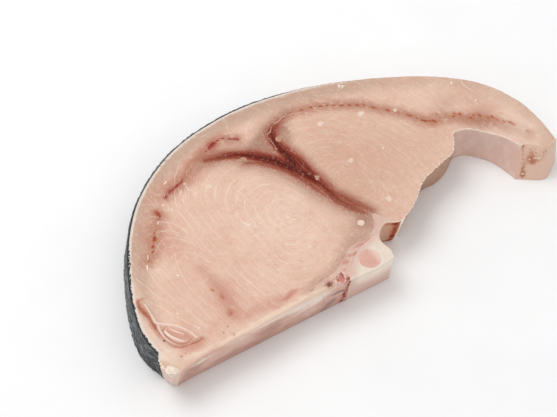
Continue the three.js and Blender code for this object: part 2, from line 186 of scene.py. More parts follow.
# Rows of small dark spots: x, y of each spot, half its length along the row and its radius. The
# first two rows are rusty, the others crimson.
SIDE_SPOTS = [
    (18.5, 55, 1.2, 0.3), (26.3, 53, 0.9, 0.55), (32.7, 51.5, 0.6, 0.75), (38.5, 48.8, 0.9, 0.7),
    (42.3, 46.9, 0.3, 0.75), (46, 44.6, 0.4, 0.65), (50.2, 41.7, 0.7, 0.75), (54.4, 38.9, 0.4, 0.85),
    (58.9, 36.2, 0.8, 0.75), (62.3, 33.8, 0.4, 0.55), (66.6, 28.5, 0.8, 0.75), (72.7, 22, 0.8, 0.85),
    (77.5, 16.2, 0.4, 0.4), (81.9, 10.5, 1.5, 0.6), (84.6, 5.8, 0.4, 0.4), (87.3, 1.7, 1.6, 0.85),
    (90, -0.6, 0.7, 0.7), (92.6, -2.2, 0.6, 0.8),
]
# Flecks of the flap, which lie across their row: x and y of both ends and half the width
FLAP_FLECKS = [
    (97.5, 2.3, 97.3, 0.2, 0.4), (92.1, -1.2, 92.4, -3.4, 0.75), (90.8, -0.6, 90.9, -2, 0.5),
    (107.2, -3.8, 107.5, -5.4, 0.6), (105.3, -5.2, 105.5, -6.9, 0.65), (109.7, -5.9, 109.9, -7.7, 0.6),
    (116.2, -12, 116.6, -13.4, 0.55), (113.3, -12.6, 114, -14, 0.75), (119.4, -14.3, 120.1, -15.9, 0.7),
    (122.9, -18.7, 123.2, -20.3, 0.5), (125.6, -19.8, 126, -21.4, 0.65),
    (126.8, -22.9, 127.2, -24.5, 0.5), (129.2, -27, 129.5, -28.6, 0.5),
    (132.1, -29.7, 132.6, -31.3, 0.6), (133.3, -32.2, 133.5, -33.7, 0.45),
    (137.3, -41.7, 137.5, -43, 0.4), (101.6, -1.6, 101.8, -2.4, 0.3), (118.6, -12.4, 119, -13, 0.3),
]
# The line that they follow
FLAP_ROW = [(91, -3), (97, -2.5), (107, -8), (118, -18), (126, -26), (132, -36), (135.5, -44)]
LOW_SPOTS = [
    (-95.6, 31.6, 0.9, 1.9), (-95.2, 29, 0.7, 1.0), (-97.4, 27, 0.3, 0.4),
    (-104.5, 19.5, 0.5, 0.4), (-107, 15.5, 1.2, 1.3), (-110.6, 11, 0.5, 1.0), (-112.8, 7.4, 0.2, 0.8),
    (-118.5, 3.2, 0.8, 0.3),
]
BACK_SPOTS = [
    (-22.8, 55.6, 1.2, 0.75), (-25.6, 57.6, 1.0, 0.5), (-29.5, 60.6, 0.9, 0.4), (-33.4, 60.8, 0.7, 0.35),
    (-36.4, 60.2, 0.7, 0.5), (-38.4, 59.5, 1.2, 1.5), (-40.6, 58.4, 0.9, 0.8), (-44, 57.4, 0.6, 0.25),
    (-68.5, 46.2, 0.3, 0.3), (-70.7, 44.2, 1.4, 0.5), (-74, 43.2, 1.6, 0.75), (-78, 42.3, 1.4, 0.8),
    (-80.4, 41.8, 1.0, 0.95), (-84.3, 39.6, 0.4, 0.75),
]
# Pale specks and short scratches, some of them painted glints: x and y of both ends and half the width
SPECKS_AND_GLINTS = [
    (-58.4, 33, -57, 31.4, 1.1),
    (-55, -3.2, -53.2, -7.4, 0.28), (-53.2, -7.4, -51.2, -6, 0.22), (-31, -14.8, -29.2, -16, 0.35),
    (-29, -18.6, -27.2, -19.6, 0.3), (-26, -16.4, -25, -17.6, 0.25), (-31.6, -18.4, -30.6, -20.4, 0.2),
    (-69.6, 42, -69.3, 42.2, 0.5), (-69.9, 35.8, -69.6, 40.2, 0.25), (-75.4, 37.2, -73.4, 38.8, 0.3),
    (-77.4, 29.6, -76.4, 32.4, 0.25), (-80, 49, -77.6, 50, 0.45), (-86.6, 28, -86, 30, 0.3),
    (-89.4, 35, -89, 35.2, 0.55), (-99.4, 24.2, -98.2, 25.8, 0.35), (-109.4, -15.6, -109.4, -15.2, 0.6),
    (-118.2, 4, -116.8, 7, 0.3), (-122.1, -1.8, -120.9, 0.8, 0.45), (-123.7, -39, -123.7, -38.6, 0.5),
    (-118.6, -54.2, -118.6, -53.8, 0.6), (-119.4, -52, -119.4, -51.8, 0.45),
    (-52.4, -3.6, -51.2, -4.4, 0.15),
    (51.3, -2.8, 51.7, -2.6, 0.6), (121.8, 18, 122.2, 18, 0.7), (125.6, -3.2, 126, -2.8, 0.6),
    (128.5, 16, 127.2, 12.5, 0.2), (127.2, 12.5, 128.5, 7, 0.2), (128.5, 7, 129.6, 3, 0.15),
    (125.8, -3, 122.4, -9, 0.15), (33, 68, 34.5, 48, 0.12), (-6.9, 43.8, -6.5, 34.7, 0.15),
    (-76, -71, -53, -70.4, 0.3), (-112, -71, -96, -71.4, 0.25), (-94, -68.6, -80, -70, 0.2),
    (-50, -70.6, -42, -70.2, 0.5),
]

# Pale layers that bend back on themselves in the fin half, each a line of x, y, and where that
# half begins and is in full
BENT_LAYERS = [
    [(-135.3, -18), (-133, -23.3), (-129.7, -29.3), (-126.3, -38), (-123.7, -44), (-120.3, -51.3),
     (-118.3, -56)],
    [(-122.6, -2), (-122.3, -16.7), (-121, -24.7), (-119, -33.3), (-115.7, -48), (-113.7, -56)],
    [(-115.2, -6), (-114.7, -18), (-114.2, -30)],
    [(-105.7, -44), (-107, -36), (-108, -26), (-107, -18), (-104.6, -6), (-101.5, -0.8), (-96, -3.5),
     (-91.5, -9), (-88, -18)],
    [(-112.5, 6), (-107, 10), (-101.5, 12.3), (-95, 8), (-89.5, 0), (-86, -10)],
    [(-105.5, 16), (-101.5, 18.3), (-96.5, 16.5), (-92, 11)],
    [(-98.6, 26), (-93, 21.5), (-89.5, 15), (-87.6, 8)],
    [(-131.5, -4), (-129.3, -12), (-127.6, -20), (-124.5, -30)],
    [(-136, -69.4), (-130, -68.4), (-124, -70), (-117, -68.8), (-109, -70.3), (-101, -69)],
]
FIN_HALF = (-78.0, -98.0)
# The rolled end of the fin muscle: its dark channel, the pale fold beside it and the lens inside.
# Each row is x, y and half width; the nought stands for a strand's darkness.
FIN_CHANNEL = [
    (-135.3, -18.7, 0.1, 0), (-138.7, -18.6, 0.8, 0), (-139.6, -22, 1.4, 0), (-139.3, -27.3, 1.5, 0),
    (-138.6, -33, 1.1, 0), (-139, -38, 1.3, 0), (-139.5, -42, 0.7, 0), (-139.3, -47, 0.25, 0),
    (-138.7, -51.3, 0.25, 0), (-137.3, -56.7, 0.4, 0), (-133.7, -60, 0.7, 0), (-128.3, -61.2, 0.6, 0),
    (-123.7, -61.8, 0.7, 0), (-121, -61.7, 0.9, 0),
]
FIN_ALMOND = [
    (-136.3, -22.7, 0.2, 0), (-136.7, -30, 0.3, 0), (-137.3, -37.3, 0.6, 0), (-135, -40, 0.5, 0),
    (-131, -43.3, 0.5, 0), (-127, -48.7, 0.4, 0), (-124.3, -54, 0.3, 0), (-123, -59.3, 0.2, 0),
]
FIN_SIDE = [(-137.6, -39.5, 0.4, 0), (-138.4, -44, 0.3, 0), (-138.3, -50, 0.2, 0), (-137, -54.5, 0.1, 0)]
FIN_LENS = [
    (-134, -42.8, 0.1, 0), (-136.7, -44, 0.4, 0), (-137.2, -48, 0.4, 0), (-136.3, -52.7, 0.4, 0),
    (-133.7, -57.3, 0.5, 0), (-130, -59, 0.3, 0), (-126, -58.6, 0.2, 0),
]
FIN_SLIVER = [
    (-136.2, -45.6, 0.5, 0), (-135.7, -49.3, 0.6, 0), (-133.7, -53.3, 0.4, 0), (-131, -57.3, 0.2, 0),
]
FIN_SLIVER_TWO = [(-133.4, -45.5, 0.1, 0), (-131, -49.3, 0.3, 0), (-128.2, -53.5, 0.1, 0)]
FIN_PULP = [
    (-134.5, -45.5, 1.2, 0), (-132, -50, 2.6, 0), (-128.6, -54.6, 2.6, 0), (-125.6, -58.4, 1.0, 0),
]
# Pink patches of the gristle, and blood by the canal: x, y, reach along X and along Y, strength
ROSY = [
    (-59, -63.4, 4.5, 1.7, 0.9), (-64.5, -65.2, 4, 1.3, 0.8), (-71, -67.4, 5, 1.0, 0.45),
    (-52, -65, 5, 1.2, 0.4),
    (-4.9, -57.2, 6, 1.2, 0.9), (1.6, -57.4, 2, 1.8, 1.0), (-11.2, -61.2, 2.6, 1.8, 0.9),
    (-20.5, -63, 2.4, 2, 0.9), (-16, -60, 3, 1.5, 0.6), (-24, -67.5, 2, 1.5, 0.7),
    (-42, -70.6, 4, 0.8, 1.0),
]
CANAL_BLOOD = [
    (-27.4, -70.4, 0.6, 2.4, 1.0), (-28.6, -68.5, 1.6, 0.6, 0.8), (-28.4, -74.2, 1.4, 0.7, 0.9),
    (-25.4, -73.6, 1.2, 0.8, 1.0), (-31.8, -71.4, 0.5, 1.8, 0.9), (-30.4, -69.2, 1.0, 0.6, 0.7),
]
# A bruised streak below the fin muscle, and small bruises given as the rows of spots are
STREAK = [(-95, -19), (-94.2, -30), (-94.4, -41), (-96, -50), (-97.6, -59)]
BRUISES = [
    (-97.7, -36, 0.6, 0.6), (-95.5, -43, 1.3, 0.8), (-97.3, -55.6, 1.1, 1.4), (-108.3, -65, 0.2, 0.4),
    (-104, -69.7, 0.4, 0.4), (-104, -62.7, 0.15, 0.35), (-137.4, -66, 0.2, 0.45),
    (-134.4, -65.4, 0.1, 0.3), (-62, -65, 1.8, 0.16),
    (-57, -63.6, 1.6, 0.12),
]
# Pale round spots where small vessels are cut across: x, y, half width and half height
NODULES = [
    (-57.6, 32.3, 2.0, 1.8), (29.8, 36.2, 2.4, 2.2), (56.6, 28.8, 2.3, 2.2), (28.2, 0, 2.0, 1.8),
    (76.9, 19.3, 1.4, 1.4), (4.8, -43.6, 2.5, 2.4), (30.5, -38, 2.0, 2.0),
]
STAINED_NODULES = [(-28.2, 38.7, 2.7, 2.3), (0.9, 40.8, 2.6, 2.4), (2.9, 0.6, 1.6, 2.4)]
# The nerve canal over the backbone: a tube cut across, and the hole beside it
CANAL = (-29.5, -71.6)
CANAL_RADIUS = 2.9
HOLE = (-37.4, -71.0)
HOLE_HALF = (2.0, 1.7)
# The pale gristle round the joint, clockwise, and the membrane along its flesh side
GRISTLE = [
    (-50, -68.6), (-44.3, -67.5), (-36.6, -66.3), (-28.9, -64.8), (-22.8, -62.1), (-18.9, -59.4),
    (-13.5, -56.3), (-8.9, -55), (1.1, -55.2), (4.9, -53.6), (9.5, -50.5), (12.2, -47), (13.4, -42.5),
    (13, -40.2), (14, -38.8), (17.5, -40.5), (20.5, -44.5), (22.6, -49.6), (25.5, -55),
    (24, -60), (10, -90), (-48, -80),
]
MEMBRANE = GRISTLE[:14]
# Lumps of fat at the fin tip, x, y and half width, and chips of black skin on the cut face, x and y
FAT_LUMPS = [
    (-148.4, -69.8, 2.4), (-146.2, -70.8, 2.7), (-147, -68.6, 1.9), (-144.4, -71.8, 1.6),
    (-149.6, -63.4, 1.1), (-149.8, -66, 1.5), (-149.2, -60.8, 0.8),
]
SKIN_SHREDS = [
    (58.6, 56.6, 1.8, 60), (60.6, 55.2, 1.6, -30), (59.4, 54.2, 1.2, 10), (56.4, 60, 1.0, 20),
    (61.6, 57.6, 0.9, 80),
]
SKIN_CHIPS = [
    (-125.9, 19.6, 17), (-144.2, -24.7, 0), (-139.9, -50.7, 0), (-148.3, -47, 0), (-147.4, -55.4, 0),
]
# The crevice between the flesh and the backbone on the split face, and a bruise beside it
CREVICE = [
    (-26.8, -73.2, 25.2), (-25.2, -75, 24), (-25.5, -74.5, 19), (-26.8, -73.3, 12),
    (-27.9, -72.6, 6), (-29.6, -72.3, 1),
]
BRUISE = [(-35, -72.3, 8), (-39, -72, 5.5), (-42, -71.8, 2)]
BLOOD_THREAD = [(-37.4, -73.1, 15), (-34, -73.4, 15.4), (-30.6, -73.8, 15.9), (-27.8, -74, 15.2)]
# Stains of the flap's rough end: x, y, z, reach and strength, and the wet lumps between them,
# x, y, z and half length, whose pale colour stands for the end's glints as painted highlights
END_STAINS = [
    (127.5, -49.8, 24, 1.2, 0.8), (126.6, -52, 20.5, 1.2, 0.6), (126, -53.5, 15, 1.2, 0.6),
    (125.7, -54.8, 11.5, 1.4, 0.8), (131, -56.5, 19, 3.5, 0.4), (128.5, -55.5, 13, 3, 0.4),
    (126.8, -51, 22.8, 1.6, 0.7), (126.4, -52.5, 18, 1.5, 0.5), (130.2, -55.2, 16.2, 2.8, 0.6),
    (133.1, -58.1, 14.2, 2.8, 0.6), (136.3, -59.7, 16.8, 2, 0.5), (130.8, -57.3, 12, 2.2, 0.5),
    (125.4, -55.4, 8.5, 1.6, 1.0), (125.2, -56.5, 4.8, 2.2, 1.0), (124.5, -57, 2.4, 1.6, 0.8),
    (137.5, -59.8, 21.4, 2.4, 0.5), (131, -54.6, 21.6, 2, 0.4), (134.5, -60.5, 9, 2, 0.3),
]
END_GLINT_LUMPS = [
    (132.6, -57.9, 16.4, 1.5), (134.9, -59.3, 16.2, 2.0), (136.8, -59.8, 16.8, 1.3),
    (130, -55.6, 14.6, 0.8),
    (133.3, -60.2, 9.8, 1.6), (131.8, -58.8, 8.6, 1.2), (124.9, -56.6, 4.4, 1.0), (125.8, -56.2, 8, 0.6),
    (128.2, -54.3, 11, 0.7), (129.6, -55.6, 10, 0.8), (128.2, -51.6, 21, 0.6),
]
# Blood on the walls: x, y, z, half length, turn round Z and tilt
CLOTS = [
    (-25.4, -74.9, 22.6, 0.6, 0, 60), (-25.9, -74.6, 19.5, 0.6, 0, 85), (-27.6, -73, 10, 0.7, 5, 40),
    (-26.9, -72.9, 7, 0.8, 5, 40), (-29.3, -72.3, 3.4, 0.7, 5, 20),
    (23.2, -55.3, 22.6, 0.9, -5, 0), (24.9, -54.3, 18, 1.0, 10, 70), (22.9, -53.7, 17, 0.8, 10, 80),
    (24.7, -53.2, 12, 0.8, 10, 80), (23.6, -52.4, 7, 0.9, 5, 60), (21.6, -53.2, 9, 0.7, 5, 80),
]
# Dips and lumps of the upper face: x, y, radius and height
BUMPS = [
    (-129, -52, 6, 0.7), (-138, -66, 5, 0.9), (-146, -66, 4, 0.8), (-136, -30, 5, -0.6),
    (13, -47, 4, 0.5), (-33, -76, 4, 0.4), (-97, -50, 6, -0.4),
]
# Small forms of the upper face. A step has a field, its rise in millimetres, and where the rise is
# in full and where it ends. A ridge has a field, its rise, where it is highest and its reach.
RELIEF_STEPS = [
    ("channel_gap", -0.55, -0.8, 0.9), ("lens_gap", -0.3, -0.4, 0.7), ("almond_gap", 0.3, -0.4, 0.7),
    ("sliver_gap", 0.25, -0.4, 0.6), ("hole_level", -1.5, 0.3, 1.2),
]
RELIEF_RIDGES = [
    ("layer_gap", 0.06, 0, 0.5), ("canal_gap", 0.6, 0.9, 0.7), ("canal_gap", -0.8, -CANAL_RADIUS, 1.6),
]
GRISTLE_RISE = 0.25
# How near to each thin line or small hole the cut face needs finer triangles
DETAIL_REACH = {
    "channel_gap": 1.4, "almond_gap": 1.0, "rust_gap": 1.5, "layer_gap": 0.7, "canal_gap": 3,
    "hole_level": 1.8, "lens_gap": 1.0, "sliver_gap": 0.8, "crimson_gap": 1.5, "speck_and_glint_gap": 1.3,
    "bruise_level": 1.2, "dark_gap": 1.5, "membrane_gap": 0.9, "branch_edge_gap": 1,
}
# Broad tints of the flesh: x, y, reach along X and along Y, and strength. They are its pale parts,
# pink ones, yellowed ones, ones whose layers are faint, and dusky ones.
PALE = [
    (-98, -70.8, 20, 1.3, 0.8), (-72, -69.6, 12, 1.0, 0.6),
    (-144.5, -40, 4, 18, 0.9), (-138.5, -8, 5, 16, 0.6), (-128, -69.5, 9, 1.8, 0.7),
    (-29, -14, 30, 24, 0.35), (120, -40, 18, 12, 0.6), (138, -30, 10, 22, 0.5), (100, 22, 24, 10, 0.3),
    (-140, -60, 9, 8, 0.8), (60, -20, 16, 8, 0.3), (-60, -20, 24, 30, 0.15),
]
BLUSH = [
    (-143, -40, 4, 6, 0.6), (-94, -42, 18, 12, 0.35), (-110, -58, 12, 6, 0.35),
    (-66, -65, 13, 4, 0.5), (-93, -50, 6, 13, 0.55), (-80, -60, 12, 6, 0.35), (-60, 47, 13, 7, 0.4),
    (-104, 16, 14, 18, 0.6), (-78, 44, 22, 8, 0.75), (-86, -64, 16, 5, 0.3),
    (-128, -52, 10, 10, 0.4), (88, 2, 12, 10, 0.5), (118, -16, 16, 9, 0.5), (-49, 54, 12, 7, 1.0),
    (-38, 59, 10, 4, 0.4),
    (-95, -12, 30, 34, 0.25), (-141.6, -46, 1.6, 9, 0.6), (-136, -40, 4, 14, 0.35),
    (-128, -63.5, 9, 3.5, 0.9), (-136, -60, 5, 4, 0.6),
]
YELLOWED = [
    (-135, -8, 5, 13, 0.5), (-128, 8, 5, 10, 0.4), (-141, -24, 4, 10, 0.25),
    (-145.6, -60.6, 4.5, 4.6, 1.0), (-146, -48, 2.4, 9, 0.6), (-143.5, -34, 2, 8, 0.15),
    (-147, -69.5, 4.5, 3.2, 0.75), (-141, -66, 4, 3, 0.4),
]
FADED = [
    (9, -44, 9, 9, 1.0), (0, -38, 26, 20, 0.75), (-8, -22, 16, 14, 0.4), (-55, -62, 34, 12, 1.0),
    (60, 5, 30, 30, 0.35), (-26, -50, 20, 10, 0.7), (-12, -40, 14, 12, 0.8), (-30, 44, 40, 8, 0.5),
]
SHADOWED = [
    (-8, 44, 5, 8, 0.9), (-17, 48, 9, 3.5, 0.5), (3.5, 47, 5.5, 4.5, 1.0), (3, 37, 4, 10, 0.6),
    (127, -3, 10, 7, 0.25), (118, -14, 18, 7, 0.35), (114, -24, 10, 8, 0.35), (126, -34, 8, 8, 0.35),
    (111, 9, 16, 8, 0.35),
    (134, -38, 7, 10, 0.4), (100, 2, 12, 5, 0.25),
    (10, 50, 7, 4.5, 0.5), (8.5, 41, 4, 7, 0.45), (-14, 41.5, 7, 4, 0.8), (-8, 37, 5, 5, 0.7),
    (-19, 43, 6, 3, 0.4), (0.5, 52.5, 6, 2.5, 0.4), (10, -42, 6, 8, 0.7), (2, -45, 14, 8, 0.5),
    (-8, -52, 12, 4, 0.4), (-24, -60, 12, 3, 0.3), (-9, -6, 5, 16, 0.25),
    (-34, 55, 14, 5, 0.3),
]
# Patches of the split face: x, z, reach along X and upwards, and strength
SPLIT_PALE = [
    (-47, 20, 9, 4, 0.8), (-60, 20, 8, 3, 0.7), (-84, 23, 16, 1.2, 0.7),
    (-66.6, 22, 8, 2.5, 0.9), (-52, 8, 8, 5, 0.5), (-47, 20, 7, 5, 0.9), (-100, 20, 12, 2, 0.6),
    (-128, 21, 10, 2.5, 0.7), (-58, 15, 9, 2, 0.5), (-120, 12, 14, 1.2, 0.4), (-80, 22, 9, 1.5, 0.5),
]
SPLIT_DUSKY = [
    (-133, 17, 9, 7, 0.9),
    (-80.3, 14, 11, 6, 0.9), (-90, 5, 20, 4, 0.6), (-110, 9, 12, 4, 0.5), (-74, 19, 5, 1.5, 0.4),
    (-135, 8, 6, 9, 0.5), (-60, 11, 6, 1.5, 0.4),
]
SPLIT_STREAKS = [[(-70, -71, 4.8), (-64, -71, 7.2)], [(-58, -71, 14), (-50, -71, 16.5)]]


def to_linear(code):
    """An sRGB hex colour as linear red, green, blue and alpha."""
    parts = [int(code[i:i + 2], 16) / 255 for i in (1, 3, 5)]
    return (*[p / 12.92 if p <= 0.04045 else ((p + 0.055) / 1.055) ** 2.4 for p in parts], 1.0)


# Curves and outlines

def spline(rows, per_span=40):
    """A smooth curve through the rows, as dense samples: centripetal in x and y, plain in the rest."""
    rows = np.array(rows, float)
    rows = np.vstack([2 * rows[0] - rows[1], rows, 2 * rows[-1] - rows[-2]])
    samples = []
    for a, b, c, d in zip(rows, rows[1:], rows[2:], rows[3:]):
        knots = [math.sqrt(max(np.linalg.norm(q[:2] - p[:2]), 1e-4)) for p, q in ((a, b), (b, c), (c, d))]
        before, span, after = knots
        start = ((b - a) / before - (c - a) / (before + span) + (c - b) / span) * span
        end = ((c - b) / span - (d - b) / (span + after) + (d - c) / after) * span
        start[2:] = (c[2:] - a[2:]) / 2
        end[2:] = (d[2:] - b[2:]) / 2
        t = np.linspace(0, 1, per_span, endpoint=False)[:, None]
        samples.append(
            b * (2 * t ** 3 - 3 * t ** 2 + 1) + start * (t ** 3 - 2 * t ** 2 + t)
            + c * (-2 * t ** 3 + 3 * t ** 2) + end * (t ** 3 - t ** 2))
    samples.append(rows[-2:-1])
    return np.vstack(samples)


def resampled(samples, step):
    """Samples spaced evenly along the curve, about a step apart."""
    run = np.concatenate([[0], np.cumsum(np.linalg.norm(np.diff(samples[:, :2], axis=0), axis=1))])
    count = max(1, round(run[-1] / step))
    at = np.linspace(0, run[-1], count + 1)
    return np.column_stack([np.interp(at, run, samples[:, i]) for i in range(samples.shape[1])])


def wall_columns(rows, step, bulge=0.0, rough=0.0, kind="", edge=EDGE_ROUNDING):
    """One stretch of the outline: rim, lean and outward direction of each column of its wall. The
    last point is left to the stretch that follows."""
    points = resampled(spline(rows), step)
    along = np.gradient(points[:, :2], axis=0)
    along /= np.linalg.norm(along, axis=1)[:, None]
    count = len(points) - 1
    i = np.arange(count)
    return {
        "rim": points[:-1, :2],
        "lean": points[:-1, 2:4],
        "outward": np.column_stack([-along[:-1, 1], along[:-1, 0]]),
        "bulge": bulge * np.minimum(1, np.minimum(4 * i / count, 4 * (count - i) / count)),
        "rough": np.where(i == 0, 0, rough),
        "kind": np.array([kind] * count),
        "edge": np.minimum(edge, 0.35 * step * np.minimum(i, count - i)),
    }


def joined(stretches):
    """The stretches of an outline as one."""
    return {key: np.concatenate([s[key] for s in stretches]) for key in stretches[0]}


def unevenness(x, y):
    """A smooth unevenness of the hand-cut surfaces, between -1 and 1."""
    broad = np.sin(x * 0.043 + 1.1) * np.cos(y * 0.061 - 0.4)
    fine = np.sin(x * 0.19 - y * 0.07) * np.sin(y * 0.23 + x * 0.05 + 2)
    return 0.65 * broad + 0.35 * fine


def ripple(x, y, z, size):
    """A cheap lumpy pattern in space, between about -1 and 1, with lumps of the given size."""
    a, b, c = x / size, y / size, z / size
    total = np.sin(2.1 * a + 1.3 * np.sin(1.7 * b + 0.4 * c)) * np.cos(1.9 * c + 1.1 * np.sin(1.3 * a))
    total += 0.6 * np.sin(3.7 * b + 2.3 * c + 1.9 * np.sin(2.9 * a + 0.7)) * np.cos(3.1 * a - 1.7 * b)
    total += 0.4 * np.sin(6.1 * a - 5.3 * c + np.sin(4.1 * b)) * np.cos(5.7 * b + 4.3 * c)
    return total / 2


def wall_point(columns, depth, inset=0.0):
    """Points of the wall at a depth, 0 at the rim and 1 at the foot, moved in by the inset."""
    depth = np.broadcast_to(depth, len(columns["rim"]))
    base = columns["rim"] + columns["lean"] * depth[:, None]
    z = THICKNESS * (1 - depth)
    swell = columns["bulge"] * np.sin(math.pi * depth)
    lumps = columns["rough"] * unevenness(base[:, 0] * 2.3 + z * 1.1, base[:, 1] * 2.3 - z * 1.9)
    out = swell + lumps * np.sin(math.pi * depth) - inset
    return np.column_stack([base + columns["outward"] * out[:, None], z])


def skin_depth(x):
    """How thick the skin is: stout on the back, thin on the belly."""
    return SKIN_THICKNESS * (1 - 0.5 * smoothstep(x, -60, 60))


def inset_ring(ring, distance):
    """The ring pulled in by a distance, square to its neighbours' direction."""
    along = np.roll(ring, -1, axis=0) - np.roll(ring, 1, axis=0)
    along = along[:, :2] / np.linalg.norm(along[:, :2], axis=1)[:, None]
    pulled = ring.copy()
    pulled[:, 0] += along[:, 1] * distance
    pulled[:, 1] -= along[:, 0] * distance
    return pulled


# Fields over the plan

def gap_to_line(points, line):
    """Distance from each point to a line, and how far along the line the nearest place is."""
    line = np.array(line, float)
    best = np.full(len(points), 1e9)
    where = np.zeros(len(points))
    run = 0.0
    for a, b in zip(line[:-1, :2], line[1:, :2]):
        length = np.linalg.norm(b - a)
        if length == 0:
            continue
        along = np.clip(((points - a) @ (b - a)) / length ** 2, 0, 1)
        gap = np.linalg.norm(points - a - along[:, None] * (b - a), axis=1)
        closer = gap < best
        best[closer] = gap[closer]
        where[closer] = run + along[closer] * length
        run += length
    return best, where


def gap_in_space(points, line):
    """Distance from each point to a line in space."""
    line = np.array(line, float)
    best = np.full(len(points), 1e9)
    for a, b in zip(line, line[1:]):
        along = np.clip((points - a) @ (b - a) / ((b - a) @ (b - a)), 0, 1)
        best = np.minimum(best, np.linalg.norm(points - a - along[:, None] * (b - a), axis=1))
    return best


def along_band(points, rows):
    """For a band of changing half width: distance to its edge, negative inside; place along it;
    place across it, with a sign for the side; and how dark it is there."""
    samples = resampled(spline(rows, 12), 1.5)
    run = np.concatenate([[0], np.cumsum(np.linalg.norm(np.diff(samples[:, :2], axis=0), axis=1))])
    gap, where = gap_to_line(points, samples)
    middle = np.column_stack([np.interp(where, run, samples[:, i]) for i in (0, 1)])
    ahead = np.column_stack([np.interp(where + 1, run, samples[:, i]) for i in (0, 1)])
    behind = np.column_stack([np.interp(where - 1, run, samples[:, i]) for i in (0, 1)])
    way, offset = ahead - behind, points - middle
    side = np.sign(way[:, 0] * offset[:, 1] - way[:, 1] * offset[:, 0])
    return np.column_stack([
        gap - np.interp(where, run, samples[:, 2]), where, gap * side,
        np.interp(where, run, samples[:, 3])])


def gap_to_spots(points, spots):
    """Distance from each point to the nearest of a row of short dashes, as a share of its radius."""
    places = np.array(spots)
    best = np.full(len(points), 1e9)
    for i, (x, y, half, radius) in enumerate(spots):
        before = places[max(i - 1, 0), :2]
        after = places[min(i + 1, len(spots) - 1), :2]
        along = (after - before) / np.linalg.norm(after - before)
        centre = np.array([x, y])
        dash = [centre - along * half, centre + along * half]
        best = np.minimum(best, gap_to_line(points, dash)[0] / radius)
    return best


def gap_to_strokes(points, strokes):
    """Distance from each point to the nearest of some straight strokes, as a share of its half width."""
    return np.minimum.reduce([
        gap_to_line(points, [(x, y), (u, v)])[0] / half for x, y, u, v, half in strokes])


def smoothstep(value, low, high):
    """0 at low and 1 at high, whichever is the larger."""
    t = np.clip((value - low) / (high - low), 0, 1)
    return t * t * (3 - 2 * t)


def border_level(points, muscle):
    """0 at the centre of a muscle and 1 at its border."""
    centre, reach = muscle
    offset = points - np.array(centre)
    angle = np.degrees(np.arctan2(offset[:, 1], offset[:, 0]))
    turns = [(a + turn, r) for turn in (-360, 0, 360) for a, r in reach]
    table = spline(turns, 8)
    return np.linalg.norm(offset, axis=1) / np.interp(angle, table[:, 0], table[:, 1])


def arches(points):
    """How many layers of the fin half lie between each point and the middle of the arches."""
    (x, y), slant, tall, spacing = FIN_ARCHES
    above = points[:, 1] - y
    aside = points[:, 0] - x + slant * above
    return np.hypot(aside, np.maximum(above, 0) / tall) / spacing


def fold_gap(points, rows):
    """Distance to the edge of a fold of changing width, negative inside it."""
    return along_band(points, rows)[:, 0]


def tint(points, patches):
    """How strong soft-edged patches of the plan are at each point, up to 1."""
    total = np.zeros(len(points))
    for x, y, wide, deep, strength in patches:
        total += strength * np.exp(-((points[:, 0] - x) / wide) ** 2 - ((points[:, 1] - y) / deep) ** 2)
    return np.clip(total, 0, 1)


def tint_in_space(places, patches):
    """The same for round patches in space."""
    total = np.zeros(len(places))
    for *middle, reach, strength in patches:
        total += strength * np.exp(-(np.linalg.norm(places - middle, axis=1) / reach) ** 2)
    return np.clip(total, 0, 1)


def gap_to_curve(points, rows):
    """Distance from each point to a smooth curve through the rows."""
    return gap_to_line(points, resampled(spline(rows, 8), 1.5))[0]


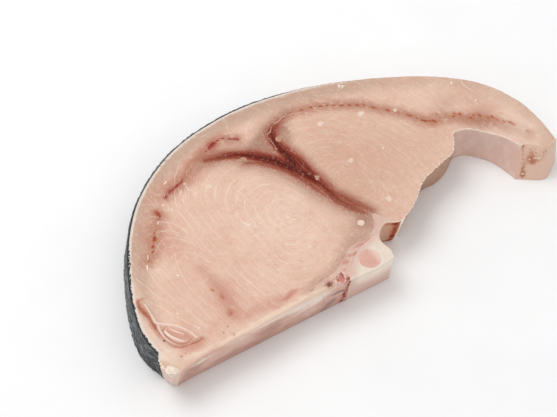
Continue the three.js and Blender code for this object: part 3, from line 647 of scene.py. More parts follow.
def flesh_fields(points):
    """Everything that the flesh's relief and colours are worked out from, for points in the plan."""
    back_centre, back_count, back_reach = BACK_RINGS
    belly_centre, belly_count, belly_reach = BELLY_RINGS
    strands = np.array([along_band(points, strand) for strand in DARK_STRANDS])
    dark = np.take_along_axis(strands, strands[:, :, :1].argmin(axis=0)[None], axis=0)[0]
    rusty = np.minimum(gap_to_spots(points, SIDE_SPOTS), gap_to_spots(points, LOW_SPOTS))
    rows = (SIDE_SPOTS, FLAP_ROW, LOW_SPOTS, BACK_SPOTS)
    hole = (points - HOLE) / HOLE_HALF
    membrane_gap = gap_to_curve(points, MEMBRANE)
    open_side = gap_to_line(points, GRISTLE[13:] + GRISTLE[:1])[0]
    gristle = smoothstep(membrane_gap, 0, 0.6) * smoothstep(open_side, 0, 4.5)
    gristle *= is_inside(GRISTLE, points)
    from_canal = points - CANAL
    turn = np.arctan2(from_canal[:, 1], from_canal[:, 0])
    canal_reach = CANAL_RADIUS * (1 + 0.16 * np.sin(2 * turn + 0.9) + 0.1 * np.sin(3 * turn))
    return {
        "back_level": border_level(points, BACK_MUSCLE),
        "belly_level": border_level(points, BELLY_MUSCLE),
        "back_rings": back_count * border_level(points, (back_centre, back_reach)),
        "belly_rings": belly_count * border_level(points, (belly_centre, belly_reach)),
        "fin_rings": arches(points),
        "dark_gap": dark[:, 0],
        "dark_along": dark[:, 1],
        "dark_across": dark[:, 2],
        "darkness": dark[:, 3],
        "branch_edge_gap": np.minimum(
            gap_to_curve(points, BRANCH_EDGE), gap_to_curve(points, BRANCH_END)),
        "rust_gap": rusty,
        "fleck_gap": gap_to_strokes(points, FLAP_FLECKS),
        "crimson_gap": gap_to_spots(points, BACK_SPOTS),
        "spot_row_gap": np.minimum.reduce([gap_to_line(points, row)[0] for row in rows]),
        "speck_and_glint_gap": gap_to_strokes(points, SPECKS_AND_GLINTS),
        "bruise_level": gap_to_spots(points, BRUISES),
        "layer_gap": np.minimum.reduce([gap_to_curve(points, line) for line in BENT_LAYERS]),
        "channel_gap": fold_gap(points, FIN_CHANNEL),
        "almond_gap": np.minimum(fold_gap(points, FIN_ALMOND), fold_gap(points, FIN_SIDE)),
        "lens_gap": fold_gap(points, FIN_LENS),
        "sliver_gap": np.minimum(fold_gap(points, FIN_SLIVER), fold_gap(points, FIN_SLIVER_TWO)),
        "pulp_gap": fold_gap(points, FIN_PULP),
        "yellowed": tint(points, YELLOWED),
        "streak_gap": gap_to_curve(points, STREAK),
        "fin_half": smoothstep(points[:, 0], *FIN_HALF),
        "skin_gap": gap_to_curve(points, SKIN_SIDE),
        "split_gap": gap_to_curve(points, SPLIT),
        "bone_gap": gap_to_curve(points, BONE_BORDER),
        "mauve": np.exp(-(membrane_gap / 5) ** 2),
        "membrane_gap": membrane_gap,
        "gristle": gristle,
        "rosy": tint(points, ROSY),
        "inner_gap": gap_to_curve(points, FLAP_INNER),
        "cavity_gap": gap_to_curve(points, CAVITY_EDGE + BONE_STEP[1:]),
        "canal_gap": np.linalg.norm(from_canal, axis=1) - canal_reach,
        "hole_level": np.linalg.norm(hole, axis=1),
        "canal_blood": tint(points, CANAL_BLOOD),
        "blush": tint(points, BLUSH),
        "pale": tint(points, PALE),
        "shadowed": tint(points, SHADOWED),
        "faded": tint(points, FADED),
    }


def flesh_relief(points, fields):
    """Height of the upper face above its nominal level."""
    x, y = points[:, 0], points[:, 1]
    height = np.zeros(len(points))
    for muscle in ("back", "belly"):
        fade = 1 - smoothstep(fields[muscle + "_level"], 0.9, 1)
        height += RING_RELIEF * fade * np.cos(fields[muscle + "_rings"] * 2 * math.pi)
    groove = 1 - smoothstep(fields["dark_gap"], -2, GROOVE_WIDTH - 1)
    height -= GROOVE_DEPTH * groove
    height += 0.05 * groove * np.sin(fields["dark_across"] * 2.9 + 0.5 * np.sin(fields["dark_along"] / 7))
    for bx, by, radius, rise in BUMPS:
        height += rise * np.exp(-((x - bx) ** 2 + (y - by) ** 2) / radius ** 2)
    for field, rise, inside, outside in RELIEF_STEPS:
        height += rise * (1 - smoothstep(fields[field], inside, outside))
    for field, rise, middle, reach in RELIEF_RIDGES:
        height += rise * np.exp(-((fields[field] - middle) / reach) ** 2)
    height += GRISTLE_RISE * fields["gristle"]
    height += 0.05 * ripple(x, y, 0, 2.6)
    height += (0.35 * ripple(x, y, 0, 7) - 0.2) * np.exp(-(fields["split_gap"] / 3) ** 2)
    return SLAB_SAG * unevenness(x, y) + height * smoothstep(fields["bone_gap"], 0, 4)


def needs_detail(points):
    """Where thin lines and small holes need finer triangles."""
    fields = flesh_fields(points)
    return np.any([fields[field] < reach for field, reach in DETAIL_REACH.items()], axis=0)


# Meshes

def is_inside(ring, points):
    """Which points lie inside a closed ring of the plan."""
    inside = np.zeros(len(points), bool)
    x, y = points[:, 0], points[:, 1]
    for a, b in zip(ring, np.roll(ring, -1, axis=0)):
        if a[1] == b[1]:
            continue
        crosses = (a[1] > y) != (b[1] > y)
        inside ^= crosses & (x < (b[0] - a[0]) * (y - a[1]) / (b[1] - a[1]) + a[0])
    return inside


def hex_grid(ring, spacing):
    """Points spaced like a honeycomb inside a clockwise ring, clear of its edge."""
    low, high = ring.min(axis=0), ring.max(axis=0)
    across = np.arange(low[0], high[0], spacing)
    rows = np.arange(low[1], high[1], spacing * math.sqrt(0.75))
    grid = np.vstack([
        np.column_stack([across + (i % 2) * spacing / 2, np.full(len(across), y)])
        for i, y in enumerate(rows)])
    close = inset_ring(np.column_stack([ring, np.zeros(len(ring))]), spacing * 0.6)[:, :2]
    return grid[is_inside(close, grid)]


def fill(ring, spacing, detail=None, hole=NO_HOLE):
    """Points and anticlockwise triangles that fill a clockwise ring, finer where the detail is and
    open at the hole; the ring's points come first, then the hole's."""
    grid = hex_grid(ring, spacing)
    if detail:
        fine = hex_grid(ring, FINE_SPACING)
        grid = np.vstack([grid[~detail(grid)], fine[detail(fine)]])
    if len(hole):
        clear = hole + (hole - hole.mean(axis=0)) * 0.05
        grid = grid[~is_inside(clear, grid)]
    points = np.vstack([ring, hole, grid])
    first, count = len(ring), len(hole)
    edges = [(first + i, first + (i + 1) % count) for i in range(count)]
    loop = list(range(first))
    made = delaunay_2d_cdt([Vector(p) for p in points], edges, [loop[::-1]], 1, 1e-6)
    kept = np.array([sources[0] for sources in made[3]])
    faces = kept[np.array(made[2])]
    if len(hole):
        faces = faces[~is_inside(hole, points[faces].mean(axis=1))]
    return points, faces


def mesh_object(name, vertices, faces, material, attributes=None):
    """A smooth-shaded object from millimetres in the drawing's frame."""
    mesh = bpy.data.meshes.new(name)
    placed = (np.asarray(vertices) - (*MIDDLE, 0)) * MM
    mesh.from_pydata(placed.tolist(), [], [list(map(int, face)) for face in faces])
    for key, values in (attributes or {}).items():
        layer = mesh.attributes.new(key, "FLOAT", "POINT")
        layer.data.foreach_set("value", np.asarray(values, np.float32))
    mesh.polygons.foreach_set("use_smooth", [True] * len(mesh.polygons))
    mesh.materials.append(material)
    mesh.set_sharp_from_angle(angle=math.radians(55))
    mesh.update()
    mesh.validate()
    piece = bpy.data.objects.new(name, mesh)
    bpy.context.scene.collection.objects.link(piece)
    return piece


def ring_faces(start, size, rows):
    """Quads between rows of a closed ring, each row below the last, facing outwards."""
    faces = []
    for row in range(rows - 1):
        upper, lower = start + row * size, start + (row + 1) * size
        for i in range(size):
            after = (i + 1) % size
            faces.append((upper + i, upper + after, lower + after, lower + i))
    return faces


def edge_profile(rounding, rows):
    """Inset and depth in millimetres down a wall with both edges rounded, for every column."""
    turns = [math.radians(a) for a in (0, 30, 60)]
    top = [(rounding * (1 - math.sin(a)), rounding * (1 - math.cos(a))) for a in turns]
    shares = np.linspace(0, 1, rows)
    middle = [(0, rounding + (THICKNESS - 2 * rounding) * share) for share in shares]
    foot = [(inset, THICKNESS - depth) for inset, depth in reversed(top)]
    return top + middle + foot


def slab(columns, relief, top_spacing, foot_spacing, inset=0, detail=None, bore=None):
    """Vertices and faces of a slab with rounded edges, and which vertices belong to its wall. The
    bore, where there is one, gives the ring of its wall at each height."""
    size = len(columns["rim"])
    rings = []
    for pulled, depth in edge_profile(columns["edge"], WALL_ROWS):
        rings.append(wall_point(columns, depth / THICKNESS, inset + pulled))
    walls = np.vstack(rings)
    holes = [bore(z) for z in np.linspace(THICKNESS, 0, 8)] if bore else [np.zeros((0, 3))]
    sides = len(holes[0])
    top, top_faces = fill(rings[0][:, :2], top_spacing, detail, holes[0][:, :2])
    foot, foot_faces = fill(rings[-1][:, :2], foot_spacing, None, holes[-1][:, :2])
    top, foot = top[size + sides:], foot[size + sides:]
    inner = np.column_stack([top, np.full(len(top), THICKNESS)])
    under = np.column_stack([foot, np.zeros(len(foot))])
    vertices = np.vstack([walls, *holes, inner, under])
    lift = relief(vertices[:, :2])
    share = np.clip((vertices[:, 2] - (THICKNESS - 3)) / 3, 0, 1)
    vertices[:, 2] += lift * smoothstep(share, 0, 1)
    hole_start = len(walls)
    inner_start = hole_start + sides * len(holes)
    top_index = np.concatenate([
        np.arange(size), hole_start + np.arange(sides), inner_start + np.arange(len(inner))])
    foot_index = np.concatenate([
        len(walls) - size + np.arange(size), inner_start - sides + np.arange(sides),
        inner_start + len(inner) + np.arange(len(under))])
    faces = ring_faces(0, size, len(rings))
    faces += [face[::-1] for face in ring_faces(hole_start, sides, len(holes))]
    faces += top_index[top_faces].tolist()
    faces += foot_index[foot_faces][:, ::-1].tolist()
    is_wall = np.zeros(len(vertices))
    is_wall[size * 2:len(walls)] = 1
    return vertices, faces, is_wall


# Materials

def add(tree, kind, inputs=None, **settings):
    """A node with its settings; an input is linked where it is given a socket."""
    node = tree.nodes.new(kind)
    for key, value in settings.items():
        setattr(node, key, value)
    for key, value in (inputs or {}).items():
        if isinstance(value, bpy.types.NodeSocket):
            tree.links.new(value, node.inputs[key])
        else:
            node.inputs[key].default_value = value
    return node


def new_material(name, **shader):
    """A material with one surface shader whose own sockets hold the constant values."""
    material = bpy.data.materials.new(name)
    material.use_nodes = True
    tree = material.node_tree
    tree.nodes.clear()
    surface = add(tree, "ShaderNodeBsdfPrincipled", shader)
    output = add(tree, "ShaderNodeOutputMaterial")
    tree.links.new(surface.outputs[0], output.inputs[0])
    place = add(tree, "ShaderNodeTexCoord").outputs["Object"]
    return material, tree, surface, place


def covered(tree, *parts):
    """How far a layer covers: the product of its parts. A part is a socket, or a value with where
    it gives nothing, where it gives all and how much that is."""
    cover = None
    for part in parts:
        if isinstance(part, tuple):
            value, gone_at, full_at, strength = part
            part = add(tree, "ShaderNodeMapRange",
                       {"Value": value, "From Min": gone_at, "From Max": full_at, "To Min": 0.0,
                        "To Max": strength}, interpolation_type="SMOOTHSTEP").outputs[0]
        if cover:
            part = add(tree, "ShaderNodeMath", {0: cover, 1: part}, operation="MULTIPLY").outputs[0]
        cover = part
    return cover


def washed(tree, colour, code, *parts):
    """The colour with another laid over it, as far as the parts cover."""
    return add(tree, "ShaderNodeMix", {0: covered(tree, *parts), 6: colour, 7: to_linear(code)},
               data_type="RGBA").outputs[2]


def painted(tree, place, colour, layers):
    """Colours laid over one another. Each layer covers where its field, made uneven by clouds of
    the given grain, is between the value where it is full and the value where it is gone."""
    for field, full_at, gone_at, wobble, grain, code, strength in layers:
        value = add(tree, "ShaderNodeAttribute", attribute_name=field).outputs["Fac"]
        clouds = add(tree, "ShaderNodeTexNoise",
                     {"Vector": place, "Scale": 1 / (grain * MM), "Detail": 3.0, "Roughness": 0.6})
        shifted = add(tree, "ShaderNodeMath", {0: clouds.outputs["Fac"], 1: 2 * wobble, 2: value},
                      operation="MULTIPLY_ADD").outputs[0]
        colour = washed(tree, colour, code, (shifted, gone_at + wobble, full_at + wobble, strength))
    return colour


def mottled(tree, place, light, dark, grain):
    """Two tones of one colour in soft clouds of the given size."""
    clouds = add(tree, "ShaderNodeTexNoise",
                 {"Vector": place, "Scale": 1 / (grain * MM), "Detail": 4.0, "Roughness": 0.55})
    share = add(tree, "ShaderNodeMapRange",
                {"Value": clouds.outputs["Fac"], "From Min": 0.25, "From Max": 0.75})
    return add(tree, "ShaderNodeMix",
               {0: share.outputs[0], 6: to_linear(dark), 7: to_linear(light)},
               data_type="RGBA").outputs[2]


def grained(tree, surface, place, grains):
    """Fine relief, each row with the size of its grain and its depth in millimetres."""
    normal = None
    for grain, depth in grains:
        clouds = add(tree, "ShaderNodeTexNoise",
                     {"Vector": place, "Scale": 1 / (grain * MM), "Detail": 3.0, "Roughness": 0.6})
        bump = add(tree, "ShaderNodeBump",
                   {"Height": clouds.outputs["Fac"], "Distance": depth * MM, "Strength": 1.0})
        if normal:
            tree.links.new(normal, bump.inputs["Normal"])
        normal = bump.outputs[0]
    tree.links.new(normal, surface.inputs["Normal"])


def ring_lines(tree, place, colour, muscle, pale, dusky, strength):
    """The muscle's layers as thin pale lines with fainter ones between and a dusky side to each,
    wavering and fading in and out."""
    phase, in_fin, faded = [
        add(tree, "ShaderNodeAttribute", attribute_name=name).outputs["Fac"]
        for name in (muscle + "_rings", "fin_half", "faded")]
    for size, reach, roughness in ((24, 0.9, 0.4), (5, 0.42, 0.5)):
        waver = add(tree, "ShaderNodeTexNoise",
                    {"Vector": place, "Scale": 1 / (size * MM), "Detail": 2.0, "Roughness": roughness})
        phase = add(tree, "ShaderNodeMath", {0: waver.outputs["Fac"], 1: reach, 2: phase},
                    operation="MULTIPLY_ADD").outputs[0]
    patchy = add(tree, "ShaderNodeTexNoise", {"Vector": place, "Scale": 1 / (18 * MM), "Detail": 2.0})
    clear = add(tree, "ShaderNodeMath", {0: 1.0, 1: faded}, operation="SUBTRACT").outputs[0]
    parts = [(patchy.outputs["Fac"], 0.3, 0.62, strength), clear]
    if muscle == "fin":
        parts.append(in_fin)
    else:
        level = add(tree, "ShaderNodeAttribute", attribute_name=muscle + "_level").outputs["Fac"]
        off_fin = add(tree, "ShaderNodeMath", {0: 1.0, 1: in_fin}, operation="SUBTRACT").outputs[0]
        parts += [(level, 1.0, 0.9, 1.0), off_fin]
    shown = covered(tree, *parts)
    # lines to a layer, where the wave gives nothing and all, colour and strength
    for times, gone_at, full_at, code, share in (
            (1, 0.2, -1.0, dusky, 0.4), (5, 0.6, 1.0, pale, 0.3), (2, 0.9, 1.0, pale, 0.65),
            (3, 0.85, 1.0, pale, 0.5), (1, 0.965, 1.0, pale, 0.75)):
        turned = add(tree, "ShaderNodeMath", {0: phase, 1: 2 * math.pi * times}, operation="MULTIPLY")
        wave = add(tree, "ShaderNodeMath", {0: turned.outputs[0]}, operation="COSINE").outputs[0]
        colour = washed(tree, colour, code, (wave, gone_at, full_at, share), shown)
    return colour


def stretched_noise(tree, along, across, length, width):
    """Clouds drawn out along one direction; length and width in the units of the two values."""
    places = {}
    for i, (value, size) in enumerate(((along, length), (across, width))):
        places[i] = add(tree, "ShaderNodeMath", {0: value, 1: 1 / size}, operation="MULTIPLY").outputs[0]
    vector = add(tree, "ShaderNodeCombineXYZ", places)
    clouds = add(tree, "ShaderNodeTexNoise",
                 {"Vector": vector.outputs[0], "Scale": 1.0, "Detail": 3.0, "Roughness": 0.6})
    return clouds.outputs["Fac"]


def fibre_noise(tree, place, rings, centre):
    """Clouds drawn out along the rings round a centre, five to a ring."""
    middle = tuple((c - m) * MM for c, m in zip(centre, MIDDLE))
    out = add(tree, "ShaderNodeAttribute", attribute_name=rings).outputs["Fac"]
    flat = add(tree, "ShaderNodeVectorMath", {0: place, 1: (1.0, 1.0, 0.0)}, operation="MULTIPLY")
    away = add(tree, "ShaderNodeVectorMath", {0: flat.outputs[0], 1: (*middle, 0.0)},
               operation="SUBTRACT")
    way = add(tree, "ShaderNodeVectorMath", {0: away.outputs[0]}, operation="NORMALIZE")
    turned = add(tree, "ShaderNodeSeparateXYZ", {0: way.outputs[0]}).outputs
    vector = add(tree, "ShaderNodeCombineXYZ", {0: out, 1: turned[0], 2: turned[1]})
    clouds = add(tree, "ShaderNodeTexNoise",
                 {"Vector": vector.outputs[0], "Scale": 5.0, "Detail": 3.0, "Roughness": 0.6})
    return clouds.outputs["Fac"]


def dark_muscle(tree, place, colour):
    """The dark red muscle as bundles that run along it, frayed where they end in the pale flesh,
    with a few pale threads between them."""
    along, across, gap, darkness = [
        add(tree, "ShaderNodeAttribute", attribute_name=name).outputs["Fac"]
        for name in ("dark_along", "dark_across", "dark_gap", "darkness")]
    bundles = stretched_noise(tree, along, across, 15, 1.3)
    slanted = add(tree, "ShaderNodeMath", {0: across, 1: 1.4, 2: along}, operation="MULTIPLY_ADD")
    fibres = stretched_noise(tree, slanted.outputs[0], across, 5, 0.4)
    # the noises add about 3.7 to the distance from the strand's edge
    frayed = gap
    for strands, reach in ((bundles, 4.0), (fibres, 3.4)):
        frayed = add(tree, "ShaderNodeMath", {0: strands, 1: reach, 2: frayed},
                     operation="MULTIPLY_ADD").outputs[0]
    colour = washed(tree, colour, "#AD8674", (across, 2.0, -2.0, 0.55), (gap, 15.0, 1.0, 1.0))
    colour = washed(tree, colour, "#A67B68", (gap, 9.0, 0.5, 0.5))
    colour = washed(tree, colour, "#A5624C", (frayed, 10.0, 4.0, 0.75))
    # how the cover grows: from a share that is there everywhere, by a share that goes with darkness
    for gone_at, full_at, code, always, by_darkness in (
            (6.9, 3.4, "#8D3822", 0.35, 0.6), (5.2, 1.9, "#6A190A", 0.0, 0.95),
            (3.3, 0.0, "#4A0A02", 0.0, 0.95)):
        share = add(tree, "ShaderNodeMath", {0: darkness, 1: by_darkness, 2: always},
                    operation="MULTIPLY_ADD").outputs[0]
        colour = washed(tree, colour, code, (frayed, gone_at, full_at, 1.0), share)
    # a whitish fringe on the lower side
    fuzz = add(tree, "ShaderNodeTexNoise", {"Vector": place, "Scale": 1 / (0.9 * MM), "Detail": 2.0})
    colour = washed(tree, colour, "#E6CBBB", (fuzz.outputs["Fac"], 0.46, 0.74, 0.5),
                    (gap, 6.0, 3.0, 1.0), (gap, 0.0, 2.0, 1.0), (across, 2.0, -1.5, 1.0))
    waves = add(tree, "ShaderNodeMath", {0: bundles, 1: 7.0, 2: across}, operation="MULTIPLY_ADD")
    turned = add(tree, "ShaderNodeMath", {0: waves.outputs[0], 1: 2.7}, operation="MULTIPLY")
    threads = add(tree, "ShaderNodeMath", {0: turned.outputs[0]}, operation="SINE").outputs[0]
    return washed(tree, colour, "#AE6550", (threads, 0.8, 1.0, 0.6), (bundles, 0.42, 0.58, 1.0),
                  (gap, 3.5, 0.0, 1.0))


def raw_flesh():
    """Raw swordfish flesh, sawn across the grain: moist, slightly see-through, pale pink-beige, with
    pale layers, dark muscle that bleeds into it and membranes on its old surfaces."""
    material, tree, surface, place = new_material(
        "raw swordfish flesh", Roughness=0.42, IOR=1.36)
    surface.inputs["Specular IOR Level"].default_value = 0.16
    surface.inputs["Subsurface Weight"].default_value = 0.12
    surface.inputs["Subsurface Radius"].default_value = (1.0, 0.45, 0.3)
    surface.inputs["Subsurface Scale"].default_value = 3 * MM
    colour = mottled(tree, place, "#E4C4B0", "#DAB39E", 22)
    # field, full at, gone at, wobble, grain of the wobble, colour, strength; millimetres
    colour = painted(tree, place, colour, [
        ("belly_level", 0.2, 1.35, 0.1, 20, "#CDA48D", 0.85),
        ("skin_side", 1, 0, 0.25, 12, "#B69885", 0.8),
        ("blush", 1, 0.05, 0.06, 7, "#C48874", 0.85),
        ("streak_gap", -1, 6, 2.5, 5, "#BE8674", 0.6),
        ("spot_row_gap", 0, 9, 2.0, 4, "#AC745C", 0.85),
        ("shadowed", 1, 0, 0.08, 5, "#996A58", 0.85),
        ("mauve", 1, 0.05, 0.12, 3, "#BC9587", 0.7),
        ("yellowed", 1, 0.1, 0.15, 3, "#E2C8A6", 0.85),
        ("pale", 1, 0, 0.1, 9, "#ECD4C2", 0.75),
    ])
    colour = ring_lines(tree, place, colour, "back", "#F3E0D0", "#CF9F8A", 0.62)
    colour = ring_lines(tree, place, colour, "belly", "#EAD3C1", "#C4967F", 0.6)
    colour = ring_lines(tree, place, colour, "fin", "#EED8C8", "#CB9A86", 0.22)
    east, north, up = add(tree, "ShaderNodeSeparateXYZ", {0: place}).outputs
    sawn = stretched_noise(tree, north, east, 30 * MM, 0.9 * MM)
    colour = washed(tree, colour, "#EAD2C2", (sawn, 0.58, 0.78, 0.2))
    for rings, centre in (("back_rings", BACK_RINGS[0]), ("belly_rings", BELLY_RINGS[0])):
        fibres = fibre_noise(tree, place, rings, centre)
        colour = washed(tree, colour, "#F2E0D2", (fibres, 0.55, 0.72, 0.22))
        colour = washed(tree, colour, "#C68D78", (fibres, 0.45, 0.3, 0.2))
    specks = add(tree, "ShaderNodeTexNoise",
                 {"Vector": place, "Scale": 1 / (1.1 * MM), "Detail": 1.0, "Roughness": 0.5})
    colour = washed(tree, colour, "#CB8D7B", (specks.outputs[0], 0.64, 0.76, 0.3))
    for size, light, dark in ((0.8, 0.16, 0.14), (4, 0.15, 0.2)):
        grain = add(tree, "ShaderNodeTexNoise",
                    {"Vector": place, "Scale": 1 / (size * MM), "Detail": 2.0, "Roughness": 0.6})
        colour = washed(tree, colour, "#F2E0D2", (grain.outputs[0], 0.56, 0.74, light))
        colour = washed(tree, colour, "#C98D79", (grain.outputs[0], 0.46, 0.28, dark))
    colour = painted(tree, place, colour, [
        ("layer_gap", -0.1, 0.5, 0.25, 7, "#EFD9C9", 0.6),
        ("pulp_gap", -0.8, 0.8, 0.5, 3, "#CB9482", 0.8),
        ("channel_gap", 0.2, 2.2, 1.0, 3, "#C99582", 0.7),
        ("channel_gap", -0.9, 0.5, 0.7, 2, "#B87660", 0.85),
        ("channel_gap", -1.6, 0.2, 1.1, 3, "#A05C3E", 0.8),
        ("lens_gap", -0.3, 0.6, 0.35, 2, "#B67A67", 0.85),
        ("almond_gap", -0.2, 0.6, 0.3, 2.5, "#EBD3C5", 0.85),
        ("sliver_gap", -0.2, 0.5, 0.25, 2, "#F1DACE", 0.9),
        ("bruise_level", 0.5, 2.6, 0.8, 2, "#C08468", 0.65),
        ("bruise_level", 0.1, 1.2, 0.6, 1.2, "#AE6547", 0.6),
        # pale specks and scratches, some of them painted glints
        ("speck_and_glint_gap", 0.5, 1.3, 0.4, 1.5, "#F4E7DC", 0.8),
    ])
    colour = dark_muscle(tree, place, colour)
    leant = add(tree, "ShaderNodeMath", {0: east, 1: 0.12, 2: up}, operation="MULTIPLY_ADD")
    drawn = stretched_noise(tree, east, leant.outputs[0], 12 * MM, 1.1 * MM)
    colour = painted(tree, place, colour, [
        ("branch_edge_gap", -0.1, 0.42, 0.45, 2.5, "#E6C9BC", 0.75),
        ("rust_gap", 0.2, 2.1, 1.0, 1.6, "#B56A4C", 0.6),
        ("rust_gap", 0.1, 1.15, 0.5, 0.9, "#993D24", 0.95),
        ("fleck_gap", 0.8, 3.4, 1.0, 1.6, "#BB7757", 0.55),
        ("fleck_gap", 0.3, 1.2, 0.4, 0.8, "#9C4525", 0.95),
        ("crimson_gap", 0.4, 3.6, 1.8, 1.6, "#B0665A", 0.75),
        ("crimson_gap", -0.1, 1.8, 1.6, 1.0, "#8A1F19", 0.95),
        ("gristle", 0.85, 0.25, 0.12, 2.5, "#D9B8AA", 0.9),
        ("rosy", 0.9, 0.1, 0.4, 1.8, "#C98A7B", 0.9),
        ("skin_rim", 1, 0, 0.7, 2, "#E2D8CE", 0.85),
        ("inner_gap", 0.2, 1.2, 0.4, 2, "#F1E6DE", 0.8),
        ("cavity_gap", 0.2, 1.0, 0.4, 2, "#EBDDD2", 0.75),
        ("on_split", 1, 0, 0, 5, "#DBB4A5", 0.85),
        ("foot_gap", 2, 15, 4, 6, "#C29889", 0.8),
        ("on_split", 1.25, 0.95, 0.5, 6, "#CF9687", 0.4),
        ("split_dusky", 1, 0.1, 0.25, 5, "#AF8476", 0.8),
        ("split_pale", 1, 0.1, 0.3, 4, "#F3E6DB", 0.85),
        ("streaks_gap", 0, 1.2, 0.8, 1.5, "#9A5446", 0.7),
        ("rim_gap", 1.0, 4.6, 3.2, 6, "#EBD0BA", 0.8),
        ("rim_gap", -1.0, 0.6, 2.2, 3, "#F5EBE0", 0.8),
        ("bruise_gap", 0, 4, 1.5, 2, "#8F7C7B", 0.7),
        ("canal_gap", 1.0, 3.4, 1.2, 1.6, "#DDAEA1", 0.8),
        ("canal_gap", 0.5, 1.4, 0.9, 1.4, "#EBD3C8", 0.8),
        ("canal_gap", -1.0, 0.6, 1.0, 1.2, "#C8847A", 0.95),
        ("canal_blood", 1, 0.1, 0.4, 1.0, "#8E2F2B", 0.95),
        ("hole_level", 1.2, 2.0, 0.6, 1.2, "#C08B7B", 0.7),
        ("hole_level", 0.3, 1.2, 0.5, 1.2, "#7C4C3F", 0.85),
        ("crevice_gap", 0.6, 3.4, 2.0, 1.6, "#B8685C", 0.7),
        ("crevice_gap", -0.4, 1.3, 1.6, 1.0, "#742320", 0.85),
        ("on_cavity", 1, 0, 0.1, 3, "#B58D76", 0.95),
        ("on_flap", 1, 0, 0.1, 4, "#DCB9AC", 0.9),
        ("on_flap", 1.2, 0.9, 0.5, 7, "#E6CFC4", 0.6),
        ("on_end", 1, 0, 0.2, 3, "#E4C2AE", 0.85),
        ("end_stain", 0.9, 0.1, 0.9, 1.2, "#C48566", 0.8),
        ("end_stain", 1.2, 0.5, 0.9, 0.9, "#A55B37", 0.75),
        ("on_step", 1, 0, 0.1, 3, "#D2A88F", 0.95),
        ("crust", 0.8, 0.1, 0.4, 1.4, "#BE7346", 0.9),
        ("crust", 1.15, 0.5, 0.8, 1.0, "#9A2C10", 0.95),
        # the far end of the step's wall painted near white: painted light against its shade
        ("tan", 0.9, 0.2, 0.1, 2, "#F6E6D6", 0.95),
        ("chip", 0.9, 0.3, 0.2, 1.5, "#FFFAF2", 0.95),
        ("on_tip", 1, 0, 0.2, 3, "#DDC2B6", 0.9),
        ("on_tip", 1.25, 1.0, 0.5, 3, "#F3EAE3", 0.8),
    ])
    # folds of the membrane by the backbone, and the saw's streaks on the split face
    membrane_gap, mauve, on_split = [
        add(tree, "ShaderNodeAttribute", attribute_name=name).outputs["Fac"]
        for name in ("membrane_gap", "mauve", "on_split")]
    slant = add(tree, "ShaderNodeMath", {0: east, 1: north}, operation="ADD").outputs[0]
    slant = add(tree, "ShaderNodeMath", {0: slant, 1: MM}, operation="DIVIDE").outputs[0]
    folds = stretched_noise(tree, slant, membrane_gap, 13, 0.8)
    colour = washed(tree, colour, "#A5806F", (folds, 0.5, 0.66, 0.6), mauve)
    for gone_at, full_at, code in ((0.56, 0.7, "#F3E4D9"), (0.44, 0.3, "#B98A7B")):
        colour = washed(tree, colour, code, (drawn, gone_at, full_at, 0.3), on_split)
    tree.links.new(colour, surface.inputs["Base Color"])
    grained(tree, surface, place, [(6, 0.25), (1.4, 0.1)])
    return material


def wet_skin():
    """Swordfish skin: thin, black and leathery on the back, silvery by the belly, with fine creases
    along the fish and a wet sheen; the creases' ridges are painted light grey as painted highlights
    and their hollows near black as painted shade."""
    material, tree, surface, place = new_material("wet swordfish skin", Roughness=0.34, IOR=1.42)
    colour = mottled(tree, place, "#1F2229", "#0D0F12", 5)
    colour = painted(tree, place, colour, [
        # ridges of the creases painted light grey as a painted highlight, hollows near black as painted
        # shade
        ("crease", 0.9, 0.4, 0.25, 1.8, "#8E9198", 0.62),
        ("crease", 0.1, 0.5, 0.15, 1.2, "#0D0E10", 0.8),
        ("lip", 1, 0, 0.3, 1.5, "#2B2E33", 0.7),
        ("upper_back", 1, 0.4, 0.6, 1.4, "#7D7A7A", 0.35),
        ("belly", 0.7, 0.2, 0.06, 6, "#D0AF9B", 0.97),
    ])
    tree.links.new(colour, surface.inputs["Base Color"])
    grained(tree, surface, place, [(2.2, 0.5), (0.7, 0.2)])
    return material


def wet_bone():
    """The cartilage and bone of a split vertebra: waxy cream, pinker towards its base. Its walls are
    painted paler as painted light against their shade, with a painted highlight along the split
    face's top edge.
    """
    material, tree, surface, place = new_material("wet vertebra", Roughness=0.4, IOR=1.45)
    surface.inputs["Subsurface Weight"].default_value = 0.1
    surface.inputs["Subsurface Radius"].default_value = (1.0, 0.6, 0.45)
    surface.inputs["Subsurface Scale"].default_value = 2 * MM
    colour = mottled(tree, place, "#E0D1C1", "#DAC4B4", 6)
    colour = painted(tree, place, colour, [
        ("border_gap", 0, 7, 1.5, 4, "#D0B2A4", 0.95),
        ("rosy", 1, 0.15, 0.3, 2.2, "#CE9A8A", 0.85),
        ("core_gap", 0.0, 1.3, 0.9, 3, "#EFE4D9", 0.4),
        # the walls painted paler from just under the top face down: painted light against their shade
        ("low", 0.2, -0.08, 0.06, 5, "#FFF0DF", 0.6),
        ("low", 0.7, 0.12, 0.15, 6, "#D8B0A2", 0.8),
        ("low", 1.1, 0.4, 0.15, 4, "#CFA596", 0.6),
        ("border_gap", 0.3, 6.5, 2.5, 4, "#D6B6A8", 0.85),
        # a painted highlight along the top edge of the split face
        ("edge_gap", 0.0, 2.0, 0.7, 3, "#F3E6D8", 0.55),
    ])
    tree.links.new(colour, surface.inputs["Base Color"])
    grained(tree, surface, place, [(3, 0.15), (0.8, 0.06)])
    return material


